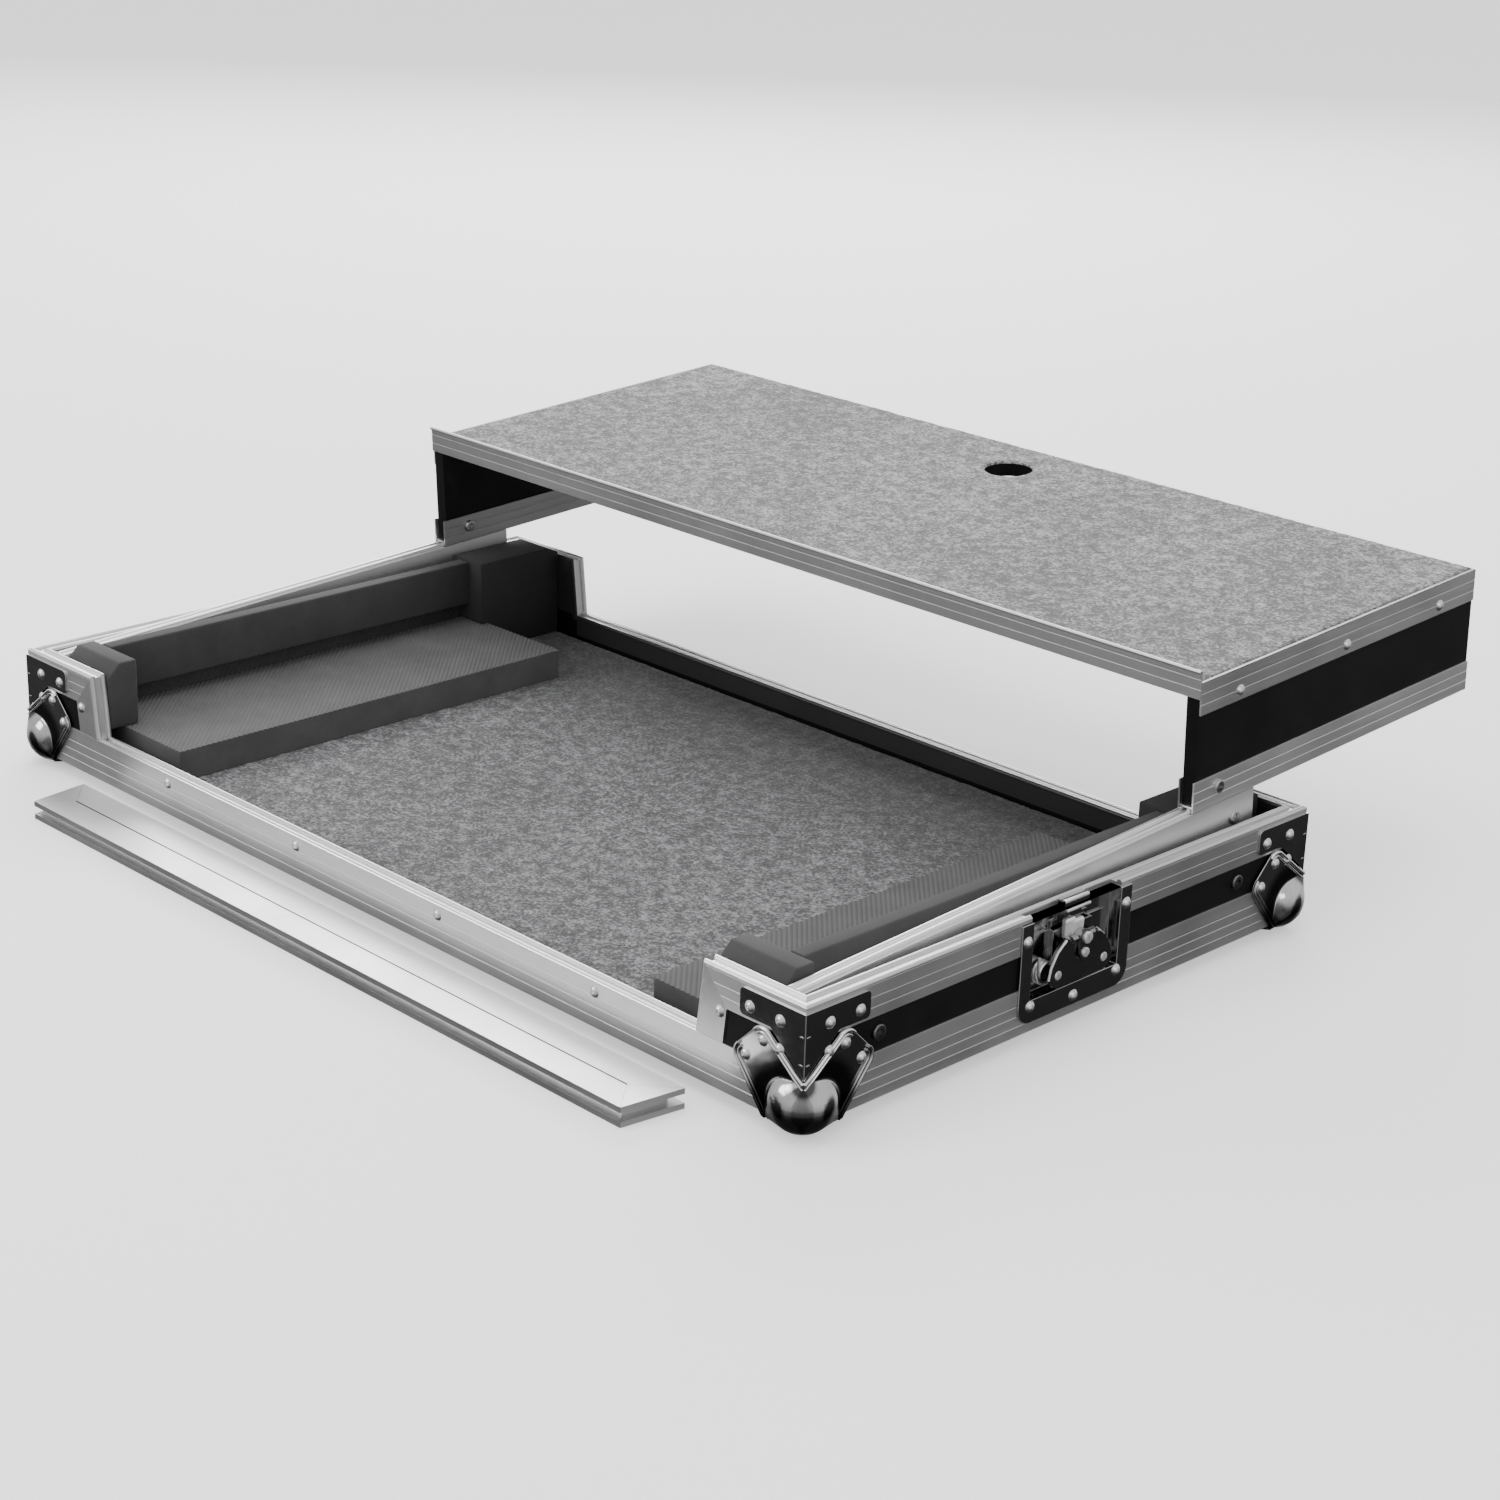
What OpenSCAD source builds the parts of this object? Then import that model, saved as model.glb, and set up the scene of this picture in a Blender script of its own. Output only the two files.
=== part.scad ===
// Flight case base for a DJ controller, with a laptop platform that glides on two inclined rails.
// +X is the right end wall, -Y is the front, and the origin is the centre of the floor panel's underside.

/* [Case] */
// Width over the edge extrusions
case_w = 968; // [940:1:1000]
// Depth over the edge extrusions
case_d = 563; // [545:1:590]
// Height of the end walls' board above the lower edge
wall_h = 88; // [86:0.5:92]
// Thickness of the plywood walls
ply = 12; // [10:0.5:13]
// Thickness of the floor panel
floor_t = 9; // [6:0.5:10]
// Thickness of the carpet on the floor
carpet_t = 3; // [2:0.5:4]
// Distance from the case's end to the beads of the cut-outs at the top of the wall
cutout_in = 101; // [90:1:120]
// Slant of the cut-outs' ends from upright
cutout_slant = 6.7; // [3:0.1:9]

/* [Extrusions] */
// Thickness of the aluminium leaves
leaf = 1.5; // [1:0.1:1.6]
// Height of the base edge's upright leaf
base_leaf_h = 36.7; // [35:0.1:37]
// Drop from the base edge's upper edge to the board of the front and rear cut-outs
sill_drop = 4.7; // [4.6:0.1:5]
// Width of the base edge's foot under the case
base_foot = 30; // [20:1:34]
// Height of one band between two grooves
band_h = 8.3; // [7:0.1:9]
// Height of the rim edge's leaves
rim_leaf_h = 23.8; // [21:0.1:24]
// Width of the smooth leaves on the cut-outs' ends
post_leaf_w = 23; // [20:0.5:24]
// Radius of the two beads on an edge
bead_r = 2.5; // [2:0.1:2.7]
// Height of the beads above the board's edge
bead_h = 5; // [4.6:0.1:5.4]
// Width of a decorative groove
groove_w = 0.8; // [0.5:0.1:1.2]
// Depth of a decorative groove
groove_d = 0.4; // [0.2:0.1:0.6]

/* [Corners] */
// Radius of the ball corners
ball_r = 25; // [24:0.5:26]
// Distance of the ball's centre from each face
ball_inset = 14.3; // [14:0.1:15]
// Thickness of the corner plates
plate_t = 1.5; // [1:0.1:2]
// Radius of the flare round the ball, on each face
flare_r = 36; // [32:1:38]
// First rivet of a ball corner's leg, near and far distance
leg_near = 38.5; // [37:0.5:40]
// Second distance of that rivet
leg_far = 54.8; // [53:0.5:56]
// Radius of the leg's rounded end
lobe_r = 10.5; // [9:0.5:11]
// Length of the corner bracket's arms
bracket_len = 62; // [60:1:66]
// Height of the corner bracket's arms
bracket_arm_h = 20.6; // [19:0.2:21]
// Radius of the rivet heads
rivet_r = 4.7; // [4:0.1:5]
// Height of the rivet heads
rivet_h = 2.6; // [2:0.1:2.8]

/* [Rails] */
// Slope of the rails
tilt = 2.9; // [2.5:0.1:3.2]
// Distance from a rail's rear end to the rear wall's edge
rail_rear_gap = 30.1; // [20:0.1:60]
// Drop from the end walls' board to the rail board's edge at its front end
rail_drop = 0.5; // [0:0.1:1]
// Height of the rail track's leaves
track_leaf_h = 28; // [24:0.5:28]
// Thickness of the filler between a rail board and the end wall
filler_t = 9; // [8:0.5:10]
// Clearance between what glides and the rail
glide_gap = 0.3; // [0.2:0.05:0.5]
// Radius of the through-bolts
bolt_r = 3; // [2.5:0.1:3.5]

/* [Platform] */
// Depth of the platform's board
platform_d = 367.4; // [340:1:380]
// Thickness of the platform's board
board_t = 12; // [10:0.5:14]
// Thickness of the platform's carpet
mat_t = 2.5; // [2:0.1:3]
// Height of the platform's side boards
side_board_h = 88.5; // [80:0.5:100]
// Length of the runner channel's overlap with the rail at the rear stop
rest_overlap = 77; // [60:1:120]
// Height of the runner channels' leaves
channel_h = 25.5; // [22:0.5:28]
// Height of the platform's side edges
side_edge_h = 27; // [24:0.5:30]
// Height of the front edge's lip above the board
lip_h = 10.4; // [8:0.1:13]
// Radius of the cable hole
cable_r = 22.5; // [15:0.5:30]
// Distance of the cable hole from the platform's rear
cable_in = 61.4; // [50:0.2:90]

/* [Foam] */
// Width of the foam pads
pad_w = 138; // [120:1:145]
// Thickness of the foam pads
pad_t = 27.2; // [24:0.5:29]
// Width of the foam side bars
foam_bar_w = 25.7; // [23:0.1:28]
// Height of the foam blocks and bars above the end walls' board
foam_rise = 12; // [9:0.5:13]
// Height of the upright foam strips' tops
strip_top = 58; // [55:0.5:60]
// Gap that the soft pieces keep
foam_gap = 0.3; // [0.25:0.05:0.5]

/* [Latch] */
// Half width of the latch dish
dish_half = 62; // [60:0.5:64]
// Half width of the dish's pocket
pocket_half = 49.3; // [47:0.5:50.3]
// Drop from the spindle to the pocket's lower edge
pocket_down = 28; // [26:0.5:29]
// Depth of the pocket below the plate
pocket_depth = 10.5; // [10.5:0.1:10.8]
// Height of the spindle
spindle_h = 54; // [53:0.5:55]
// Radius of the spindle's boss
boss_r = 5.5; // [5:0.1:6]
// Throw of the cam pin
throw = 5; // [4:0.1:5]
// Clearance of the latch's bearings
running_gap = 0.05; // [0.02:0.01:0.08]
// Half width of the wing over its lobes
wing_half = 35; // [32:0.5:36]
// Thickness of the wing
wing_t = 2.4; // [2:0.1:2.6]

/* [Front panel] */
// Play of the panel between the posts of its cut-out, on each side
panel_play = 3.5; // [2:0.1:6]
// Play of the panel between the sill and the lid
panel_lid_play = 2.4; // [1:0.1:4]
// Slant of the panel's ends
panel_slant = 8.2; // [3:0.1:10]
// Thickness of the panel
panel_t = 16; // [14:0.5:18]
// Thickness of the panel's leaves
panel_leaf = 4.5; // [4:0.1:5]
// Depth of the groove round the panel
panel_groove = 8; // [6:0.5:9]
// Place of the panel's middle from the case's middle
panel_x = 13; // [0:1:20]
// Gap between the loose panel and the case's front
panel_gap = 22.8; // [16:0.2:40]

/* [Hidden] */

// How far a cut runs past the piece that it cuts
over = 1;
half_w = case_w / 2;
half_d = case_d / 2;
edge_w = ply + 2 * leaf;
// Faces of the boards
wall_x = half_w - leaf;
wall_in_x = wall_x - ply;
wall_y = half_d - leaf;
wall_in_y = wall_y - ply;
floor_top = leaf + floor_t;
carpet_top = floor_top + carpet_t;
rim_top = wall_h + bead_h;
sill_h = base_leaf_h - sill_drop;
cutout_half = half_w - cutout_in;
// Cut-outs: half width between the boards' edges at a height
function slant_x(h) = (wall_h + bead_h - h) * tan(cutout_slant);
function bead_edge(h) = cutout_half - slant_x(h);
function board_edge(h) = bead_edge(h) + bead_h / cos(cutout_slant);
// Inner leaf of the sills, which stays above the carpet
sill_leaf_h = 15;
// Beads of the rails, drawn in for the leaves of the runner channels
rail_bead_r = 2;
// Height of the web between two beads above the leaf's thickness
bead_web = 1;
rail_bead_half = ply / 2 - glide_gap - rail_bead_r;

// Rails
rail_x = wall_in_x - filler_t - ply / 2;
rail_in_x = rail_x - ply / 2;
track_in_x = rail_in_x - leaf;
track_out_x = rail_x + edge_w / 2;
rail_end_gap = 0.5;
rail_front_y = -(wall_in_y - leaf - rail_end_gap);
rail_front_h = wall_h - rail_drop;
rail_len = (wall_in_y - leaf - rail_rear_gap - rail_front_y) / cos(tilt);
rail_rear_y = rail_front_y + rail_len * cos(tilt);
filler_top = 60;
bolt_h = 51.3;
// Places of the through-bolts from the rail's two ends
bolt_in_front = 57.5;
bolt_in_rear = 40.5;
bolt_ys = [rail_front_y + bolt_in_front, rail_rear_y - bolt_in_rear];
bolt_clear = 0.05;
bolt_head_r = 6.2;
bolt_head_h = 3;
stop_screw_in = 24.5;
stop_screw_drop = 16.5;
screw_r = 5.5;
screw_h = 2.6;

// Platform, in a frame that lies on its board's top and slopes with the rails
channel_web = bead_h + glide_gap;
channel_front = 3.5;
platform_rise = channel_web + leaf + side_board_h + board_t;
platform_start = rail_len - rest_overlap + channel_front;
platform_half = rail_x + edge_w / 2;
side_lip = 3;
channel_screw_v = 27;
channel_screw_up = 11;
platform_rivet_shares = [0.133, 0.511, 0.863];
side_rivet_drop = 17.5;
front_bead_r = 1.6;

// Foam
strip_w = 11.9;
pad_out_x = rail_in_x - strip_w - 2 * foam_gap;
strip_in_x = pad_out_x + foam_gap;
pad_bottom = carpet_top + foam_gap;
pad_top = pad_bottom + pad_t;
pad_in = 16.5;
pad_front_y = pad_in - wall_in_y + leaf;
pad_rear_in = 89.5;
pad_len = 2 * (wall_in_y - leaf) - pad_in - pad_rear_in;
foam_top = wall_h + foam_rise;
soft_out_x = track_in_x - foam_gap;
block_front_y = rail_front_y + foam_gap / 2 - rail_end_gap;
front_block_d = 30;
front_block_w = 66.7;
rear_block_w = 43.7;
rear_block_rise = 2;
rear_block_step = 9;
bar_front_y = block_front_y + front_block_d + foam_gap;
rear_block_y = pad_front_y + pad_len - rear_block_step;
bar_rear_y = rear_block_y - foam_gap;
bar_chamfer_w = 12;
bar_chamfer_h = 14.5;
block_chamfer_d = 13;
block_chamfer_h = 12;
soft_rear_y = wall_in_y - leaf - foam_gap;

// Corner plates
bracket_gap = 1.2;
bracket_drop = 0.5;
bracket_top = wall_h - bracket_drop;
bracket_corner_r = 4;
bracket_near = 22.5;
bracket_far = 52;
bracket_rivet_drop = 12.5;
bracket_rivet_h = bracket_top - bracket_rivet_drop;
bracket_low_h = 53.5;
bracket_rivets = [
    [bracket_near, bracket_rivet_h], [bracket_far, bracket_rivet_h], [bracket_near, bracket_low_h]];
plate_root = 37;
leg_lobes = [[leg_near, leg_far], [leg_far, leg_near]];
lobe_out_share = 0.8;
lobe_in_share = 0.6;
lobe_out = lobe_out_share * lobe_r;
lobe_in = lobe_in_share * lobe_r;

// Latch, drawn for the right end wall, with heights above the lower edge
sheet = 1.2;
dish_x = half_w;
dish_low = 8;
pocket_low = spindle_h - pocket_down;
dish_corner_r = 14;
pocket_x = half_w + plate_t - pocket_depth;
frame_half = 22;
frame_foot = 19.5;
frame_down = 20;
frame_up = 18;
frame_low = spindle_h - frame_down;
frame_high = spindle_h + frame_up;
side_gap = 0.3;
hook_x = pocket_x + side_gap;
hook_half = frame_half - plate_t - side_gap;
hook_down = 15;
hook_rise = 6;
hook_low = spindle_h - hook_down;
hook_top = wall_h + hook_rise;
hook_lip = 8;
hook_reach = 8.2;
cam_x = hook_x + plate_t + side_gap;
cam_t = 2;
cam_pin_r = 2;
cam_rim = 2.5;
cam_r = throw + cam_pin_r + cam_rim;
frame_x = cam_x + cam_t + side_gap;
hook_slot_play = 1.4;
wing_gap = 0.7;
wing_x = half_w + plate_t + rivet_h + wing_gap;
hinge_x = wing_x + wing_t / 2;
hinge_up = 11;
hinge_h = spindle_h + hinge_up;
hinge_pin_r = 1.6;
hinge_pin_half = 12.5;
tab_gap = 0.8;
tab_x = half_w + plate_t + tab_gap;
tab_t = 2 * (hinge_x - tab_x);
tab_half = 6;
knuckle_r = 3;
knuckle_gap = 0.4;
notch_r = boss_r + cam_rim;
wing_down = 23;
wing_low = spindle_h - wing_down;
wing_top_up = 2;
wing_top = hinge_h + wing_top_up;
wing_lip_t = 1.6;
wing_lip_d = 2.2;
// The folded lip ends above the rivets that the wing turns past
wing_lip_down = 4;
wing_lip_low = spindle_h - wing_lip_down;
// Shares of the wing's half width and height, from its shoulder down to its foot
wing_side_shares = [[0.46, 1], [0.75, 0.77], [0.94, 0.48], [1, 0.2], [0.9, 0.05], [0.74, 0]];
dimple_r = 4;
dimple_d = 0.8;
dimple_in = 9;
dimple_half = wing_half - dimple_in;
dimple_down = 13;
dimple_h = spindle_h - dimple_down;
dish_rivet_half = (dish_half + pocket_half) / 2;
dish_rivet_drop = 14;
dish_rivet_h = wall_h - dish_rivet_drop;
dish_low_in = 13;
dish_low_half = dish_half - dish_low_in;
dish_rivet_gap = 0.1;
dish_low_h = pocket_low - rivet_r - dish_rivet_gap;
dish_mid_up = 7.5;
dish_mid_h = dish_low + dish_mid_up;
dish_rivets = [
    [-dish_rivet_half, dish_rivet_h], [dish_rivet_half, dish_rivet_h],
    [-dish_low_half, dish_low_h], [dish_low_half, dish_low_h], [0, dish_mid_h]];
spring_r = 8.4;
spring_wire_r = 1;
spring_turns = 2.5;
spring_pitch = 2.6;
spring_x = pocket_x + plate_t + side_gap + spring_wire_r;
spring_y = frame_half + side_gap + spring_r + spring_wire_r;
spring_down = 12;
spring_h = spindle_h - spring_down;
spring_post_r = 6.4;
spring_post_t = 7.5;

// Front panel, lying on the floor that the ball corners stand on
floor_h = ball_inset - ball_r;
panel_long = 2 * (cutout_half - panel_play);
panel_w = wall_h - sill_h - panel_lid_play;
panel_web = 1.5;
seam_gap = 0.2;
long_seam_gap = 1;
panel_y = -half_d - panel_gap - panel_w;

// Draws its children in heights above the case's lower edge
module lifted() {
    translate([0, 0, -leaf]) children();
}

// Draws its children mirrored in X or Y where asked
module flipped(in_x, in_y) {
    if (in_x) mirror([1, 0, 0]) flipped(false, in_y) children();
    else if (in_y) mirror([0, 1, 0]) children();
    else children();
}

// A rivet head with its flat side on z = 0
module rivet() {
    cap_r = (rivet_r * rivet_r + rivet_h * rivet_h) / (2 * rivet_h);
    rotate_extrude($fn = 32) intersection() {
        translate([0, rivet_h - cap_r]) circle(r = cap_r, $fn = 64);
        square([rivet_r, rivet_h]);
    }
}

// A pan head with a rounded edge on z = 0
module pan_head(r, h) {
    edge = h / 2;
    rotate_extrude($fn = 32) {
        square([r - edge, h]);
        square([r, h - edge]);
        translate([r - edge, h - edge]) circle(r = edge, $fn = 24);
    }
}

// Section of an edge that straddles a board: X across the board, Y up from the board's edge
module edge_section(outer_leaf, inner_leaf, grooves, small_r, small_half) {
    half = edge_w / 2;
    difference() {
        union() {
            translate([-half, 0]) square([edge_w, leaf]);
            for (side = [-1, 1])
                translate([side * small_half, bead_h - small_r]) circle(r = small_r, $fn = 32);
            translate([-small_half, 0]) square([2 * small_half, leaf + bead_web]);
            translate([half - leaf, -outer_leaf]) square([leaf, outer_leaf + leaf]);
            translate([-half, -inner_leaf]) square([leaf, inner_leaf + leaf]);
        }
        for (i = [1 : 1 : grooves])
            translate([half - groove_d, -i * outer_leaf / (grooves + 1) - groove_w / 2])
                square([groove_d + over, groove_w]);
    }
}

module rim_section() {
    edge_section(rim_leaf_h, rim_leaf_h, 2, bead_r, edge_w / 2 - bead_r);
}

module post_section() {
    edge_section(post_leaf_w, post_leaf_w, 0, bead_r, edge_w / 2 - bead_r);
}

module track_section() {
    edge_section(track_leaf_h, track_leaf_h, 0, rail_bead_r, rail_bead_half);
}

// Base edge: an angle with a grooved upright leaf, X = 0 at its outer face
module base_section() {
    difference() {
        union() {
            translate([-leaf, 0]) square([leaf, base_leaf_h]);
            translate([-base_foot, 0]) square([base_foot, leaf]);
        }
        for (i = [1 : 3])
            translate([-groove_d, i * band_h - groove_w / 2]) square([groove_d + over, groove_w]);
    }
}

// Runs a section along Y, with the section's X kept and its Y upwards
module along_y(length) {
    rotate([90, 0, 0]) linear_extrude(height = length, center = true) children();
}

// Runs a section along X, with the section's X pointing to the front
module along_x(length) {
    rotate([0, 0, -90]) along_y(length) children();
}

// Keeps what lies between the mitres at the ends of a side, k wide
module side_mitre(k) {
    intersection() {
        children();
        translate([0, 0, -base_leaf_h]) linear_extrude(height = 2 * rim_top + base_leaf_h) polygon([
            [half_w + over, half_d + over], [half_w - k, half_d - k],
            [half_w - k, k - half_d], [half_w + over, -half_d - over]]);
    }
}

module front_mitre(k) {
    intersection() {
        children();
        translate([0, 0, -base_leaf_h]) linear_extrude(height = 2 * rim_top + base_leaf_h) polygon([
            [half_w + over, -half_d - over], [half_w - k, k - half_d],
            [k - half_w, k - half_d], [-half_w - over, -half_d - over]]);
    }
}

// Space that the latch's pocket takes out of the right end wall
module latch_cut() {
    translate([pocket_x - sheet, -pocket_half - sheet, pocket_low - sheet])
        cube([half_w, 2 * (pocket_half + sheet), rim_top]);
}

// Holes for the through-bolts of the right rail
module bolt_holes() {
    for (y = bolt_ys)
        translate([rail_in_x - over, y, bolt_h]) rotate([0, 90, 0])
            cylinder(r = bolt_r + bolt_clear, h = half_w - rail_in_x + 2 * over, $fn = 32);
}

// Floor
module floor_panel() {
    color("#1c1c1c") lifted()
        translate([-wall_in_x, -wall_in_y, leaf]) cube([2 * wall_in_x, 2 * wall_in_y, floor_t]);
}

module floor_carpet() {
    hx = rail_in_x - foam_gap;
    hy = wall_in_y - foam_gap;
    color("#5a5a5a") lifted()
        translate([-hx, -hy, floor_top]) cube([2 * hx, 2 * hy, carpet_t]);
}

// Walls
module end_wall() {
    difference() {
        translate([wall_in_x, -wall_y, leaf]) cube([ply, 2 * wall_y, wall_h - leaf]);
        latch_cut();
        bolt_holes();
    }
}

module long_wall() {
    translate([0, -wall_in_y, 0]) rotate([90, 0, 0]) linear_extrude(height = ply) polygon([
        [-wall_in_x, leaf], [wall_in_x, leaf], [wall_in_x, wall_h], [board_edge(wall_h), wall_h],
        [board_edge(sill_h), sill_h], [-board_edge(sill_h), sill_h],
        [-board_edge(wall_h), wall_h], [-wall_in_x, wall_h]]);
}

module wall_front() {
    color("#1e1e1e") lifted() long_wall();
}

module wall_rear() {
    color("#1e1e1e") lifted() flipped(false, true) long_wall();
}

module wall_right() {
    color("#1e1e1e") lifted() end_wall();
}

module wall_left() {
    color("#1e1e1e") lifted() flipped(true, false) end_wall();
}

// Base edges
module long_base_edge() {
    front_mitre(base_foot) translate([0, -half_d, 0]) along_x(case_w) base_section();
}

module end_base_edge() {
    difference() {
        side_mitre(base_foot) translate([half_w, 0, 0]) along_y(case_d) base_section();
        latch_cut();
    }
}

module base_edge_front() {
    color("silver") lifted() long_base_edge();
}

module base_edge_rear() {
    color("silver") lifted() flipped(false, true) long_base_edge();
}

module base_edge_right() {
    color("silver") lifted() end_base_edge();
}

module base_edge_left() {
    color("silver") lifted() flipped(true, false) end_base_edge();
}

// Rim edges, cut away over the latches and mitred where they meet the cut-outs' ends
module end_rim_edge() {
    difference() {
        side_mitre(edge_w) translate([half_w - edge_w / 2, 0, wall_h]) along_y(case_d) rim_section();
        latch_cut();
    }
}

// Face of the mitre between a rim edge and a cut-out's end, from the beads' corner to the leaves' corner
mitre_top = [bead_edge(rim_top), rim_top];
mitre_low = [board_edge(wall_h - rim_leaf_h) + post_leaf_w / cos(cutout_slant), wall_h - rim_leaf_h];

module long_rim_edges() {
    for (right = [false, true]) flipped(right, false) intersection() {
        front_mitre(edge_w) translate([0, -half_d + edge_w / 2, wall_h]) along_x(case_w) rim_section();
        rotate([90, 0, 0]) linear_extrude(height = case_d) polygon([
            [-mitre_top[0], mitre_top[1]], [-half_w - over, rim_top], [-half_w - over, mitre_low[1]],
            [-mitre_low[0], mitre_low[1]]]);
    }
}

module rim_edge_right() {
    color("silver") lifted() end_rim_edge();
}

module rim_edge_left() {
    color("silver") lifted() flipped(true, false) end_rim_edge();
}

module front_rim_edges() {
    color("silver") lifted() long_rim_edges();
}

module rear_rim_edges() {
    color("silver") lifted() flipped(false, true) long_rim_edges();
}

// Sill cap: a web with two beads and an inner leaf, behind the base edge's upright leaf
module sill_section() {
    front = edge_w / 2 - leaf;
    translate([-edge_w / 2, 0]) square([edge_w - leaf, leaf]);
    translate([-edge_w / 2, -sill_leaf_h]) square([leaf, sill_leaf_h + leaf]);
    for (x = [bead_r - edge_w / 2, front - bead_r])
        translate([x, bead_h - bead_r]) circle(r = bead_r, $fn = 32);
    translate([bead_r - edge_w / 2, 0]) square([edge_w - leaf - 2 * bead_r, leaf + bead_web]);
}

module cutout_edges() {
    sill_top = sill_h + bead_h;
    translate([0, -half_d + edge_w / 2, sill_h])
        along_x(2 * (bead_edge(sill_top) - seam_gap)) sill_section();
    for (right = [false, true]) flipped(right, false) {
        intersection() {
            on_post() post_section();
            rotate([90, 0, 0]) linear_extrude(height = case_d) polygon([
                [-mitre_top[0], mitre_top[1]], [-mitre_low[0], mitre_low[1]],
                [-board_edge(sill_top) - post_leaf_w / cos(cutout_slant) - over, sill_top],
                [-bead_edge(sill_top) + over, sill_top]]);
        }
        // The post's beads and inner leaf run down to the sill's board
        intersection() {
            on_post() sill_section();
            rotate([90, 0, 0]) linear_extrude(height = case_d) polygon([
                [-board_edge(sill_h) - leaf, sill_h], [-board_edge(sill_top) - leaf, sill_top],
                [-bead_edge(sill_top), sill_top], [-bead_edge(sill_top), sill_h]]);
        }
    }
}

// Runs a section along the left post of the front cut-out
module on_post() {
    sill_top = sill_h + bead_h;
    translate([-board_edge(sill_top), -half_d + edge_w / 2, sill_top])
        rotate([0, -cutout_slant, 0]) rotate([0, 90, 0]) along_x(case_d) children();
}

module front_cutout_edges() {
    color("#d0d0d0") lifted() cutout_edges();
}

module rear_cutout_edges() {
    color("#d0d0d0") lifted() flipped(false, true) cutout_edges();
}

// Corner hardware, drawn with the case's corner at the origin and the case in the positive octant
module at_corner(right, rear) {
    lifted() flipped(right, rear) translate([-half_w, -half_d, 0]) children();
}

// Draws a plate outline on the front face and on the end face of the corner
module on_two_faces() {
    rotate([90, 0, 0]) children();
    mirror([1, -1, 0]) rotate([90, 0, 0]) children();
}

module leg_outline() {
    side = lobe_r / sqrt(2);
    polygon([
        [-plate_t, -plate_t], [plate_root, -plate_t],
        [leg_far + lobe_out, leg_near - lobe_in], [leg_far + side, leg_near + side],
        [leg_near + side, leg_far + side], [leg_near - lobe_in, leg_far + lobe_out],
        [-plate_t, plate_root]]);
    for (p = leg_lobes) translate(p) circle(r = lobe_r, $fn = 40);
}

module flare_outline() {
    intersection() {
        circle(r = flare_r, $fn = 48);
        translate([-plate_t, -plate_t]) square(flare_r + 2 * plate_t);
    }
}

module ball_corner() {
    difference() {
        union() {
            hull() {
                translate([ball_inset, ball_inset, ball_inset]) sphere(r = ball_r, $fn = 40);
                on_two_faces() linear_extrude(height = plate_t) flare_outline();
                translate([0, 0, -plate_t]) linear_extrude(height = plate_t) flare_outline();
            }
            on_two_faces() linear_extrude(height = plate_t) leg_outline();
            translate([0, 0, -plate_t]) linear_extrude(height = plate_t) leg_outline();
        }
        cube(2 * bracket_len);
    }
}

module bracket_outline() {
    arm_low = bracket_top - bracket_arm_h;
    r = bracket_corner_r;
    difference() {
        union() {
            polygon([
                [-plate_t, plate_root + bracket_gap], [leg_near - lobe_in, arm_low],
                [bracket_len - r, arm_low], [bracket_len, arm_low + r],
                [bracket_len, bracket_top - r], [bracket_len - r, bracket_top], [-plate_t, bracket_top]]);
            for (h = [arm_low + r, bracket_top - r])
                translate([bracket_len - r, h]) circle(r = r, $fn = 24);
        }
        translate([leg_near, leg_far]) circle(r = lobe_r + bracket_gap, $fn = 40);
        polygon([
            [-plate_t, plate_root], [leg_near - lobe_in, leg_far + lobe_out],
            [leg_near, leg_far], [bracket_len, leg_near], [bracket_len, 0]]);
    }
}

module corner_bracket() {
    on_two_faces() linear_extrude(height = plate_t) bracket_outline();
}

module ball_corner_front_left() {
    color("gainsboro") at_corner(false, false) ball_corner();
}

module ball_corner_front_right() {
    color("gainsboro") at_corner(true, false) ball_corner();
}

module ball_corner_rear_left() {
    color("gainsboro") at_corner(false, true) ball_corner();
}

module ball_corner_rear_right() {
    color("gainsboro") at_corner(true, true) ball_corner();
}

module corner_bracket_front_left() {
    color("dimgray") at_corner(false, false) corner_bracket();
}

module corner_bracket_front_right() {
    color("dimgray") at_corner(true, false) corner_bracket();
}

module corner_bracket_rear_left() {
    color("dimgray") at_corner(false, true) corner_bracket();
}

module corner_bracket_rear_right() {
    color("dimgray") at_corner(true, true) corner_bracket();
}

// Rivets
sill_rivet_shares = [-0.708, -0.236, 0.236, 0.708];
sill_rivet_drop = 3.5;
sill_rivet_h = sill_h - sill_rivet_drop;
post_rivet_h = 60;
post_rivet_in = 16.8;
post_rivet_x = board_edge(post_rivet_h) + post_rivet_in;

module corner_rivets() {
    for (p = concat(bracket_rivets, leg_lobes))
        on_two_faces() translate([p[0], p[1], plate_t]) rivet();
    for (p = leg_lobes)
        translate([p[0], p[1], -plate_t]) mirror([0, 0, 1]) rivet();
}

module case_rivets() {
    color("white") {
        for (right = [false, true], rear = [false, true]) at_corner(right, rear) corner_rivets();
        lifted() {
            for (rear = [false, true]) flipped(false, rear) translate([0, -half_d, 0]) rotate([90, 0, 0]) {
                for (share = sill_rivet_shares) translate([share * cutout_half, sill_rivet_h, 0]) rivet();
                for (x = [-post_rivet_x, post_rivet_x]) translate([x, post_rivet_h, 0]) rivet();
            }
            for (left = [false, true], p = dish_rivets) flipped(left, false)
                translate([dish_x + plate_t, p[0], p[1]]) rotate([0, 90, 0]) rivet();
        }
    }
}

// Rails
module rail_board() {
    difference() {
        translate([rail_in_x, 0, 0]) rotate([90, 0, 90]) linear_extrude(height = ply) polygon([
            [rail_front_y, floor_top], [rail_rear_y, floor_top],
            [rail_rear_y, rail_front_h + rail_len * sin(tilt)], [rail_front_y, rail_front_h]]);
        bolt_holes();
    }
}

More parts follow.
